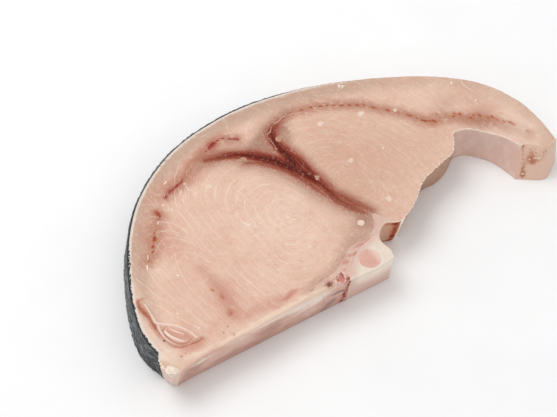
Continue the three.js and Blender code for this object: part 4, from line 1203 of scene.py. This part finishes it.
def jelly_core():
    """The soft jelly between two vertebrae, cut across: pink, smooth and wet."""
    material, tree, surface, place = new_material("vertebra jelly", Roughness=0.3, IOR=1.36)
    surface.inputs["Subsurface Weight"].default_value = 0.2
    surface.inputs["Subsurface Radius"].default_value = (1.0, 0.5, 0.4)
    surface.inputs["Subsurface Scale"].default_value = 3 * MM
    colour = mottled(tree, place, "#DEB2A3", "#D3A090", 6)
    colour = painted(tree, place, colour, [
        ("towards_flap", 1.0, 0.1, 0.15, 4, "#E9D0C1", 0.85),
        ("from_middle", 1.04, 0.86, 0.12, 4, "#E8D0C2", 0.7),
    ])
    tree.links.new(colour, surface.inputs["Base Color"])
    grained(tree, surface, place, [(4, 0.1)])
    return material


def plain_wet(name, light, dark, grain, roughness):
    """A small wet scrap of one colour in two tones."""
    material, tree, surface, place = new_material(name, Roughness=roughness, IOR=1.4)
    tree.links.new(mottled(tree, place, light, dark, grain), surface.inputs["Base Color"])
    grained(tree, surface, place, [(1.0, 0.12)])
    return material


# Pieces

def make_flesh(material):
    """Both muscles, the belly flap and the fat of the fin tip, with the walls that the saw and the
    knife left, open where the backbone sits and drawn in under the skin."""
    columns = joined([
        wall_columns(SKIN_SIDE, RIM_SPACING, 1, 0.7, "skin"),
        wall_columns(FLAP_END, RIM_SPACING, 0.6, 0.8, "end"),
        wall_columns(FLAP_INNER, RIM_SPACING, -0.5, 0.3, "flap"),
        wall_columns(CAVITY_EDGE, RIM_SPACING, -0.4, 0.5, "cavity"),
        wall_columns(BONE_STEP, RIM_SPACING, 0, 0.5, "step"),
        wall_columns(BONE_BORDER, RIM_SPACING, 0, 0, "bone", SEAM_ROUNDING),
        wall_columns(SPLIT, RIM_SPACING, 0.3, 0.9, "split", 1.5),
        wall_columns(FIN_TIP, RIM_SPACING, 0.5, 0.6, "tip"),
    ])
    size = len(columns["kind"])
    inset = np.where(columns["kind"] == "skin", 0.8 * skin_depth(columns["rim"][:, 0]), 0)

    def relief(points):
        return flesh_relief(points, flesh_fields(points))

    vertices, faces, is_wall = slab(columns, relief, FILL_SPACING, 8, inset, needs_detail)
    fields = flesh_fields(vertices[:, :2])
    wall_count = size * len(edge_profile(columns["edge"], WALL_ROWS))
    for kind in ("split", "cavity", "flap", "end", "step", "tip"):
        mask = np.zeros(len(vertices))
        mask[:wall_count] = np.tile(columns["kind"] == kind, wall_count // size)
        fields["on_" + kind] = mask * is_wall
    x, z = vertices[:, 0], vertices[:, 2]
    on_step, in_window = fields["on_step"], smoothstep(x, 16.8, 17.6) * smoothstep(x, 25.2, 24.6)
    # the far end of the step's wall is tan in itself but painted near white, as painted light against its
    # shade
    fields["tan"] = on_step * smoothstep(x, 26, 27.4)
    fields["chip"] = on_step * smoothstep(x, 26.4, 27.6) * smoothstep(z, 17.5, 20)
    fields["crust"] = on_step * np.clip(
        np.exp(-((x - 24) / 2.4) ** 2) + 0.7 * in_window * np.exp(-((z - 23) / 1.1) ** 2)
        + 0.6 * np.exp(-((x - 17) / 0.4) ** 2) + 0.8 * in_window * np.exp(-((z - 0.8) / 1.2) ** 2), 0, 1)
    towards_flap = smoothstep(x, 20, 80)
    fields["skin_side"] = smoothstep(fields["skin_gap"], 20, 4) * (1 - 0.5 * smoothstep(x, 50, 100))
    past_skin = fields["skin_gap"] - skin_depth(x)
    fields["skin_rim"] = smoothstep(past_skin, 2.4, 1.0) * (1 - 0.9 * towards_flap)
    fields["foot_gap"] = np.where(fields["on_split"] > 0, z, 99)
    below = np.maximum(THICKNESS - 1.5 - z, 0)
    fields["canal_gap"] += 2 * below
    fields["hole_level"] += 2 * below
    fields["canal_blood"] *= smoothstep(below, 3, 0)
    on_face = np.column_stack([x, z])
    fields["split_pale"] = tint(on_face, SPLIT_PALE) * fields["on_split"]
    fields["split_dusky"] = tint(on_face, SPLIT_DUSKY) * fields["on_split"]
    past_end = 6 * smoothstep(x, -112, -122)
    fields["rim_gap"] = np.hypot(fields["split_gap"], np.maximum(THICKNESS - z, 0)) + past_end
    fields["streaks_gap"] = np.minimum.reduce([gap_in_space(vertices, line) for line in SPLIT_STREAKS])
    fields["end_stain"] = tint_in_space(vertices, END_STAINS) * fields["on_end"]
    fields["crevice_gap"] = gap_in_space(vertices, CREVICE)
    fields["bruise_gap"] = gap_in_space(vertices, BRUISE)
    flesh = mesh_object("steak_flesh", vertices, faces, material, fields)
    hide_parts("flesh")
    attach(flesh, "root")
    return flesh


def make_skin(material):
    """The skin as a shell of its own over the flesh's round side: creased outside, cut off along a
    ragged lip, pale and thin towards the belly."""
    columns = wall_columns(SKIN_SIDE, SKIN_SPACING, 1, 0.7)
    x = columns["rim"][:, 0]
    count = len(x)
    thick = skin_depth(x)
    belly = smoothstep(x, 5, 55)
    torn = 1 - smoothstep(x, -142, -118)
    run = np.arange(count) * SKIN_SPACING
    ragged = np.array([noise.fractal(Vector((r / 2.3, 0.4, SEED)), 1.0, 2.0, 3) for r in run])
    top_z = THICKNESS + flesh_relief(columns["rim"], flesh_fields(columns["rim"]))
    top_z += 0.15 - 0.5 * belly + (0.15 + 0.7 * torn) * ragged
    rings, creases, lips, greys = [], [], [], []
    upper = smoothstep(x, -118, -95)
    for share in np.linspace(0, 1, SKIN_ROWS):
        ring = wall_point(columns, 0.006 + 0.986 * share)
        wrinkle = np.array([crease_at(r, z) for r, z in zip(run, ring[:, 2])])
        out = (0.75 - 0.6 * belly) * (wrinkle - 0.5)
        ring[:, :2] += columns["outward"] * out[:, None]
        ring[:, 2] += (top_z - THICKNESS) * smoothstep(1 - share, 0.85, 1)
        rings.append(ring)
        creases.append(wrinkle)
        lips.append(np.zeros(count))
        greys.append(upper * smoothstep(share, 0.12, 0.03))
    for share in np.linspace(1, 0, 7):
        ring = wall_point(columns, 0.006 + 0.986 * share, thick)
        ring[:, 2] += (top_z - THICKNESS) * smoothstep(1 - share, 0.85, 1)
        rings.append(ring)
        creases.append(np.zeros(count))
        lips.append(np.full(count, float(share == 0)))
        greys.append(upper)
    lip = (rings[0] + rings[-1]) / 2
    lip[:, 2] += 0.2
    rings.append(lip)
    creases.append(np.zeros(count))
    lips.append(np.ones(count))
    greys.append(upper)
    total = len(rings)
    faces = []
    for row in range(total):
        after = (row + 1) % total
        for i in range(count - 1):
            faces.append((row * count + i, row * count + i + 1, after * count + i + 1, after * count + i))
    for i, turn in ((0, 1), (count - 1, -1)):
        cap = [row * count + i for row in range(total)]
        faces.append(cap[::turn])
    skin = mesh_object("skin_shell", np.vstack(rings), faces, material, {
        "crease": np.concatenate(creases), "lip": np.concatenate(lips), "belly": np.tile(belly, total),
        "upper_back": np.concatenate(greys)})
    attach(skin, "root")
    return skin


def crease_at(run, z):
    """Height of the skin's creases, 0 to 1, at a place along the side and above the foot."""
    drawn = Vector((run / 7 + 0.2 * z, z / 3.4 - 0.1 * run, SEED))
    ridge = 1 - abs(noise.noise(drawn)) * 2.4
    middle = 1 - abs(noise.noise(drawn * 2.3)) * 2.4
    fine = noise.noise(drawn * 6)
    return min(max(0.5 * ridge + 0.35 * middle + 0.3 * fine, 0), 1)


def bone_rows():
    """The backbone's outline: its border with the flesh, its outer edge and its split face."""
    border = np.array(BONE_BORDER)[::-1]
    border = inset_line(border, SEAM)
    outer = np.vstack([border[-1], BONE_OUTER[1:]])
    split = np.vstack([BONE_SPLIT[:-1], border[0]])
    return border, outer, split


def inset_line(rows, distance):
    """The rows of an open line moved to the right of its direction."""
    way = np.gradient(rows[:, :2], axis=0)
    way /= np.linalg.norm(way, axis=1)[:, None]
    moved = rows.copy()
    moved[:, 0] += way[:, 1] * distance
    moved[:, 1] -= way[:, 0] * distance
    return moved


def core_point(angle, radius, z):
    """A point on the leaning core of the backbone."""
    depth = 1 - z / THICKNESS
    return (DISC_CENTRE[0] + DISC_LEAN[0] * depth + radius * math.cos(angle),
            DISC_CENTRE[1] + DISC_LEAN[1] * depth + radius * math.sin(angle), z)


def bone_relief(points):
    """Height of the backbone's upper face above its nominal level, level with the flesh beside it."""
    x, y = points[:, 0], points[:, 1]
    own = smoothstep(gap_to_curve(points, BONE_BORDER), 0, 4)
    core = np.linalg.norm(points - DISC_CENTRE, axis=1) - DISC_RADIUS
    height = SLAB_SAG * unevenness(x, y) * (1 - own) + 0.25 * unevenness(2 * x, 2 * y) * own
    return height + 0.25 * np.exp(-((core - 0.9) / 0.7) ** 2) + 0.05 * ripple(x, y, 0, 2)


def make_bone(material):
    """Half of a joint between two vertebrae, from the upper cut to the lower one, with the bore
    that holds its core."""
    border, outer, split = bone_rows()
    columns = joined([
        wall_columns(border, BONE_SPACING, 0, 0, "border", SEAM_ROUNDING),
        wall_columns(outer, BONE_SPACING, 0, 0.3, "outer"),
        wall_columns(split, BONE_SPACING, 0, 0.4, "split"),
    ])

    def bore(z):
        turns = np.linspace(0, 2 * math.pi, CORE_SIDES, endpoint=False)
        return np.array([core_point(-turn, DISC_RADIUS + SEAM, z) for turn in turns])

    vertices, faces, is_wall = slab(columns, bone_relief, BONE_SPACING, 3, bore=bore)
    places = vertices[:, :2]
    bone = mesh_object("vertebra", vertices, faces, material, {
        "border_gap": gap_to_curve(places, BONE_BORDER),
        "core_gap": np.linalg.norm(places - DISC_CENTRE, axis=1) - DISC_RADIUS,
        "rosy": tint(places, ROSY) * (vertices[:, 2] > THICKNESS - 1),
        # how far each point is from the split face's top edge, where a highlight is painted
        "edge_gap": np.hypot(gap_to_line(places, split)[0], vertices[:, 2] - THICKNESS + 0.4),
        "low": np.clip((THICKNESS - vertices[:, 2]) / THICKNESS, 0, 1)})
    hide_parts("backbone")
    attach(bone, "root")
    return bone


def make_core(material):
    """The soft core of the joint: a round rod through the steak, standing a hair above the bone and
    slightly domed."""
    sides, rows = CORE_SIDES, 10
    face_radii = np.linspace(0.4, DISC_RADIUS, 18)
    rings = [(radius, THICKNESS) for radius in face_radii]
    rings += [(DISC_RADIUS, z) for z in np.linspace(THICKNESS - 1, 0.4, rows)]
    rings.append((DISC_RADIUS - 0.3, 0.0))
    vertices = np.array([
        core_point(-2 * math.pi * i / sides, radius, z) for radius, z in rings for i in range(sides)])
    from_middle = np.repeat([radius / DISC_RADIUS for radius, z in rings], sides)
    upper = np.repeat([z == THICKNESS for radius, z in rings], sides)
    dome = CORE_RISE * (1 - from_middle ** 2) - CORE_SUNK
    vertices[:, 2] += upper * (bone_relief(vertices[:, :2]) + dome)
    towards_flap = upper * (vertices[:, 0] - DISC_CENTRE[0]) / DISC_RADIUS
    faces = ring_faces(0, sides, len(rings))
    faces.append(list(range(sides))[::-1])
    faces.append([(len(rings) - 1) * sides + i for i in range(sides)])
    core = mesh_object("vertebra_core", vertices, faces, material, {
        "from_middle": from_middle, "towards_flap": towards_flap})
    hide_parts("backbone_disc")
    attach(core, "root")
    return core


# Scraps that the saw and the knife left, and small round marks of the cut

def scatter_tree():
    """A node tree that sets a lumpy ball on each point, sized and turned by the point's attributes.
    Its inputs are the balls' fineness, the size and depth of their lumps, and their material."""
    tree = bpy.data.node_groups.new("lumps on points", "GeometryNodeTree")
    sockets = tree.interface
    sockets.new_socket("Geometry", in_out="INPUT", socket_type="NodeSocketGeometry")
    for name, kind in (("Subdivisions", "Int"), ("Lump Size", "Float"), ("Lump Depth", "Float"),
                       ("Seed", "Int"), ("Material", "Material")):
        sockets.new_socket(name, in_out="INPUT", socket_type="NodeSocket" + kind)
    sockets.new_socket("Geometry", in_out="OUTPUT", socket_type="NodeSocketGeometry")
    given = add(tree, "NodeGroupInput").outputs
    points = add(tree, "GeometryNodeMeshToPoints", {"Mesh": given["Geometry"]})
    ball = add(tree, "GeometryNodeMeshIcoSphere", {"Radius": 1.0, "Subdivisions": given["Subdivisions"]})
    size = add(tree, "GeometryNodeInputNamedAttribute", {"Name": "half_size"},
               data_type="FLOAT_VECTOR")
    turn = add(tree, "GeometryNodeInputNamedAttribute", {"Name": "turn"}, data_type="FLOAT_VECTOR")
    placed = add(tree, "GeometryNodeInstanceOnPoints", {
        "Points": points.outputs[0], "Instance": ball.outputs["Mesh"],
        "Rotation": turn.outputs[0], "Scale": size.outputs[0]})
    real = add(tree, "GeometryNodeRealizeInstances", {"Geometry": placed.outputs[0]})
    place = add(tree, "GeometryNodeInputPosition").outputs[0]
    fineness = add(tree, "ShaderNodeMath", {0: 1.0, 1: given["Lump Size"]}, operation="DIVIDE")
    lumps = add(tree, "ShaderNodeTexNoise",
                {"Vector": place, "W": given["Seed"], "Scale": fineness.outputs[0], "Detail": 2.0},
                noise_dimensions="4D")
    centred = add(tree, "ShaderNodeVectorMath", {0: lumps.outputs["Color"], 1: (0.5, 0.5, 0.5)},
                  operation="SUBTRACT")
    moved = add(tree, "ShaderNodeVectorMath",
                {0: centred.outputs[0], "Scale": given["Lump Depth"]}, operation="SCALE")
    shaped = add(tree, "GeometryNodeSetPosition",
                 {"Geometry": real.outputs[0], "Offset": moved.outputs[0]})
    finished = add(tree, "GeometryNodeSetMaterial",
                   {"Geometry": shaped.outputs[0], "Material": given["Material"]})
    add(tree, "NodeGroupOutput", {"Geometry": finished.outputs[0]})
    return tree


def scattered(name, tree, material, lumps, fineness=2, lump_size=1.0, lump_depth=0.4):
    """One mesh of lumps. Each is x, y, z, half length, half width, half height, its turn in degrees
    round Z and its tilt in degrees, in millimetres in the drawing's frame. Where z is under
    ON_FACE it is the height over the flesh's cut face instead."""
    lumps = np.array(lumps, float)
    on_face = lumps[:, 2] < ON_FACE
    lumps[on_face, 2] += upper_face(lumps[on_face, :2])
    mesh = bpy.data.meshes.new(name + "_points")
    mesh.from_pydata(((lumps[:, :3] - (*MIDDLE, 0)) * MM).tolist(), [], [])
    half = mesh.attributes.new("half_size", "FLOAT_VECTOR", "POINT")
    half.data.foreach_set("vector", (lumps[:, 3:6] * MM).astype(np.float32).ravel())
    turns = np.column_stack([np.radians(lumps[:, 7]), np.zeros(len(lumps)), np.radians(lumps[:, 6])])
    turn = mesh.attributes.new("turn", "FLOAT_VECTOR", "POINT")
    turn.data.foreach_set("vector", turns.astype(np.float32).ravel())
    start = bpy.data.objects.new(name + "_points", mesh)
    bpy.context.scene.collection.objects.link(start)
    modifier = start.modifiers.new("lumps", "NODES")
    modifier.node_group = tree
    settings = {"Subdivisions": fineness, "Lump Size": lump_size * MM, "Lump Depth": lump_depth * MM,
                "Seed": SEED, "Material": material}
    for socket in tree.interface.items_tree:
        if socket.in_out == "INPUT" and socket.name in settings:
            modifier[socket.identifier] = settings[socket.name]
    evaluated = start.evaluated_get(bpy.context.evaluated_depsgraph_get())
    result = bpy.data.meshes.new_from_object(evaluated)
    result.polygons.foreach_set("use_smooth", [True] * len(result.polygons))
    start.modifiers.remove(modifier)
    bpy.data.objects.remove(start)
    piece = bpy.data.objects.new(name, result)
    bpy.context.scene.collection.objects.link(piece)
    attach(piece, "root")
    return piece


def upper_face(points):
    """Height of the flesh's cut face."""
    return THICKNESS + flesh_relief(points, flesh_fields(points))


def along_rim(rows, step, random):
    """Places along a rim a step apart on average, with the rim's direction in degrees."""
    samples = resampled(spline(rows), step)[:, :2]
    way = np.gradient(samples, axis=0)
    places = []
    for (x, y), (dx, dy) in zip(samples, way):
        shift = random.uniform(-0.5, 0.5) * step
        length = math.hypot(dx, dy)
        places.append((x + dx / length * shift, y + dy / length * shift,
                       math.degrees(math.atan2(dy, dx)), (dy / length, -dx / length)))
    return places


def rim_lumps(rows, step, inward, long_half, random, keep=1.0):
    """Ragged bits along a rim, flat on the upper face, each longer than wide."""
    lumps = []
    for x, y, angle, (ix, iy) in along_rim(rows, step, random):
        if random.random() > keep:
            continue
        off = random.uniform(*inward)
        half = random.uniform(*long_half)
        lumps.append((x + ix * off, y + iy * off, 0, half, half * random.uniform(0.25, 0.6),
                      0.12 + half * random.uniform(0.1, 0.25), angle + random.uniform(-30, 30),
                      random.uniform(-10, 10)))
    return lumps


def make_vessel_ends(name, places, tree, material):
    """Small vessels and tendons cut across: flat pale discs level with the flesh."""
    random = Random(SEED)
    lumps = []
    for x, y, wide, deep in places:
        lumps.append((x, y, -0.14, wide, deep, 0.36, random.uniform(-20, 20), 0))
        for k in range(4):
            angle = random.uniform(0, 2 * math.pi)
            px, py = x + 0.6 * wide * math.cos(angle), y + 0.6 * deep * math.sin(angle)
            lumps.append((px, py, -0.08, 0.5 * wide, 0.45 * deep, 0.28, random.uniform(0, 180), 0))
    scattered(name, tree, material, lumps, 4, 1.3, 0.3)


def make_shreds(tree, material):
    """Shreds of pale membrane on the rims of the belly cavity, pale lumps on the flap's end that
    stand for its wet glints as painted highlights, and lumps of fat at the fin tip.
    """
    random = Random(SEED + 1)
    lumps = rim_lumps(CAVITY_EDGE, 0.9, (0, 0.6), (0.25, 1.1), random, 0.55)
    lumps += rim_lumps(FLAP_INNER, 0.9, (0, 0.6), (0.25, 1.1), random, 0.6)
    lumps += rim_lumps(BONE_STEP, 0.9, (0, 0.8), (0.2, 0.7), random, 0.45)
    lumps += rim_lumps(FLAP_END, 1.6, (0, 0.6), (0.3, 0.9), random, 0.7)
    lumps += rim_lumps(FIN_TIP, 1.2, (0.2, 1.2), (0.5, 1.3), random, 0.6)
    # pale lumps where the flap's end glints: painted highlights
    for x, y, z, half in END_GLINT_LUMPS:
        lumps.append((x, y, z, half, 0.5, half * 0.45, -38 + random.uniform(-12, 12),
                      random.uniform(-30, 30)))
    for x, y, half in FAT_LUMPS:
        lumps.append((x, y, -0.2, half, half * 0.8, half * 0.3,
                      random.uniform(0, 180), random.uniform(-8, 8)))
    for x, y, half, turn in SKIN_SHREDS:
        lumps.append((x, y, 0.0, half, half * 0.45, 0.3, turn, 0))
    scattered("shreds_fat_and_glint_lumps", tree, material, lumps, 4, 1.4, 0.8)


def make_crumbs(tree, material):
    """Crumbs of black skin that the saw pushed on to the cut face along the lower back."""
    random = Random(SEED + 2)
    lower = SKIN_SIDE[:4]
    lumps = rim_lumps(lower, 0.55, (0.1, 1.3), (0.3, 1.1), random, 0.7)
    lumps += rim_lumps(SKIN_SIDE[3:6], 3.2, (0.1, 0.7), (0.15, 0.5), random, 0.5)
    for x, y, z in SKIN_CHIPS:
        lumps.append((x, y, z, 0.8, 0.5, 0.3 + 0.06 * z, random.uniform(0, 180), 0))
    scattered("skin_crumbs", tree, material, lumps, 3, 0.7, 0.7)


def make_canal_tissue(tree, material):
    """Pale shreds in a ragged ring round the nerve canal and the hole beside it."""
    random = Random(SEED + 4)
    lumps = []
    for (x, y), (wide, deep), count in ((CANAL, (3.2, 3.0), 11), (HOLE, (3.4, 2.3), 4)):
        for k in range(count):
            angle = 2 * math.pi * (k + random.uniform(-0.4, 0.4)) / count
            out = random.uniform(0.85, 1.2)
            lumps.append((x + wide * out * math.cos(angle), y + deep * out * math.sin(angle),
                          random.uniform(-0.1, 0.15), random.uniform(0.5, 1.3),
                          random.uniform(0.25, 0.5), random.uniform(0.25, 0.5),
                          math.degrees(angle) + 90 + random.uniform(-35, 35), random.uniform(-20, 20)))
    scattered("canal_tissue", tree, material, lumps, 3, 0.9, 0.7)


def make_clots(tree, material):
    """Blood left in the crevice by the canal, on the split face below it and in the open vessel of the
    step."""
    random = Random(SEED + 3)
    lumps = []
    for x, y, z, half, turn, tilt in CLOTS:
        for k in range(3):
            lumps.append((x + random.uniform(-0.5, 0.5), y + random.uniform(-0.2, 0.2),
                          z + random.uniform(-0.7, 0.7), half * random.uniform(0.6, 1), 0.35,
                          half * random.uniform(0.3, 0.6), turn + random.uniform(-12, 12),
                          tilt + random.uniform(-15, 15)))
    scattered("blood_clots", tree, material, lumps, 3, 0.8, 0.5)


def make_thread(material):
    """A hair-thin thread of old blood on the split face."""
    samples = resampled(spline(BLOOD_THREAD), 0.3)
    sides = 8
    vertices = []
    for i, (x, y, z) in enumerate(samples[:, :3]):
        radius = 0.3 * math.sin(math.pi * (i + 0.5) / len(samples)) ** 0.5
        radius *= 1 + 0.4 * math.sin(i * 1.9)
        for k in range(sides):
            turn = -2 * math.pi * k / sides
            vertices.append((x, y + radius * 0.5 * math.cos(turn), z + radius * math.sin(turn)))
    faces = [face[::-1] for face in ring_faces(0, sides, len(samples))]
    faces.append(list(range(sides)))
    faces.append([(len(samples) - 1) * sides + k for k in range(sides)][::-1])
    thread = mesh_object("blood_thread", vertices, faces, material)
    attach(thread, "root")


# The photograph's camera, light and ground

def add_camera():
    """The camera that the photograph was taken with, as far as it can be fitted."""
    azimuth, elevation = math.radians(CAMERA_AZIMUTH), math.radians(CAMERA_ELEVATION)
    back = Vector((math.sin(azimuth) * math.cos(elevation),
                   -math.cos(azimuth) * math.cos(elevation), math.sin(elevation)))
    data = bpy.data.cameras.new("camera")
    data.lens = LENS
    data.sensor_width = SENSOR
    camera = bpy.data.objects.new("camera", data)
    aim = Vector((AIM[0] - MIDDLE[0], AIM[1] - MIDDLE[1], AIM[2])) * MM
    camera.location = aim + back * CAMERA_DISTANCE * MM
    camera.rotation_mode = "QUATERNION"
    camera.rotation_quaternion = (-back).to_track_quat("-Z", "Y")
    bpy.context.scene.collection.objects.link(camera)
    bpy.context.scene.camera = camera


def add_light(name, place, size, watts):
    """A square soft light that faces the steak."""
    data = bpy.data.lights.new(name, "AREA")
    data.size = size
    data.energy = watts
    light = bpy.data.objects.new(name, data)
    light.location = place
    light.rotation_mode = "QUATERNION"
    light.rotation_quaternion = (-Vector(place)).to_track_quat("-Z", "Y")
    bpy.context.scene.collection.objects.link(light)


def add_studio():
    """A pale floor under soft light from above and behind, with an even pale surround."""
    mesh = bpy.data.meshes.new("floor")
    half = FLOOR_HALF
    mesh.from_pydata([(-half, -half, 0), (half, -half, 0), (half, half, 0), (-half, half, 0)], [],
                     [(0, 1, 2, 3)])
    floor = bpy.data.objects.new("floor", mesh)
    bpy.context.scene.collection.objects.link(floor)
    material, tree, surface, place = new_material("matt white card", Roughness=0.9)
    colour = mottled(tree, place, "#F7F7F7", "#F3F3F3", 60)
    tree.links.new(colour, surface.inputs["Base Color"])
    mesh.materials.append(material)
    world = bpy.data.worlds.new("surround")
    world.use_nodes = True
    sky = world.node_tree.nodes["Background"]
    sky.inputs["Color"].default_value = to_linear("#FFFFFF")
    sky.inputs["Strength"].default_value = SURROUND_STRENGTH
    bpy.context.scene.world = world
    add_light("key", LIGHT_PLACE, LIGHT_SIZE, LIGHT_WATTS)
    bpy.context.scene.view_settings.view_transform = "Standard"


add_camera()
add_studio()
make_flesh(raw_flesh())
make_skin(wet_skin())
make_bone(wet_bone())
make_core(jelly_core())
lumps_on_points = scatter_tree()
make_vessel_ends("vessel_ends", NODULES, lumps_on_points,
                 plain_wet("cut vessel ends", "#EAD4C4", "#DABBA7", 2.0, 0.45))
make_vessel_ends("stained_vessel_ends", STAINED_NODULES, lumps_on_points,
                 plain_wet("stained vessel ends", "#C9A286", "#996B52", 1.6, 0.45))
make_shreds(lumps_on_points, plain_wet("fat, membrane and painted glints", "#F1E4D4", "#DFC9B7", 2.0, 0.3))
make_crumbs(lumps_on_points, plain_wet("crumbs of black skin", "#3A3D42", "#1E1F22", 1.5, 0.4))
make_canal_tissue(lumps_on_points, plain_wet("tissue round the canal", "#F0DDD2", "#D9A79A", 1.6, 0.35))
old_blood = plain_wet("old blood", "#9C3A2C", "#6B2018", 1.2, 0.35)
make_clots(lumps_on_points, old_blood)
make_thread(plain_wet("dried blood", "#3A2A2A", "#1E1718", 1.2, 0.45))
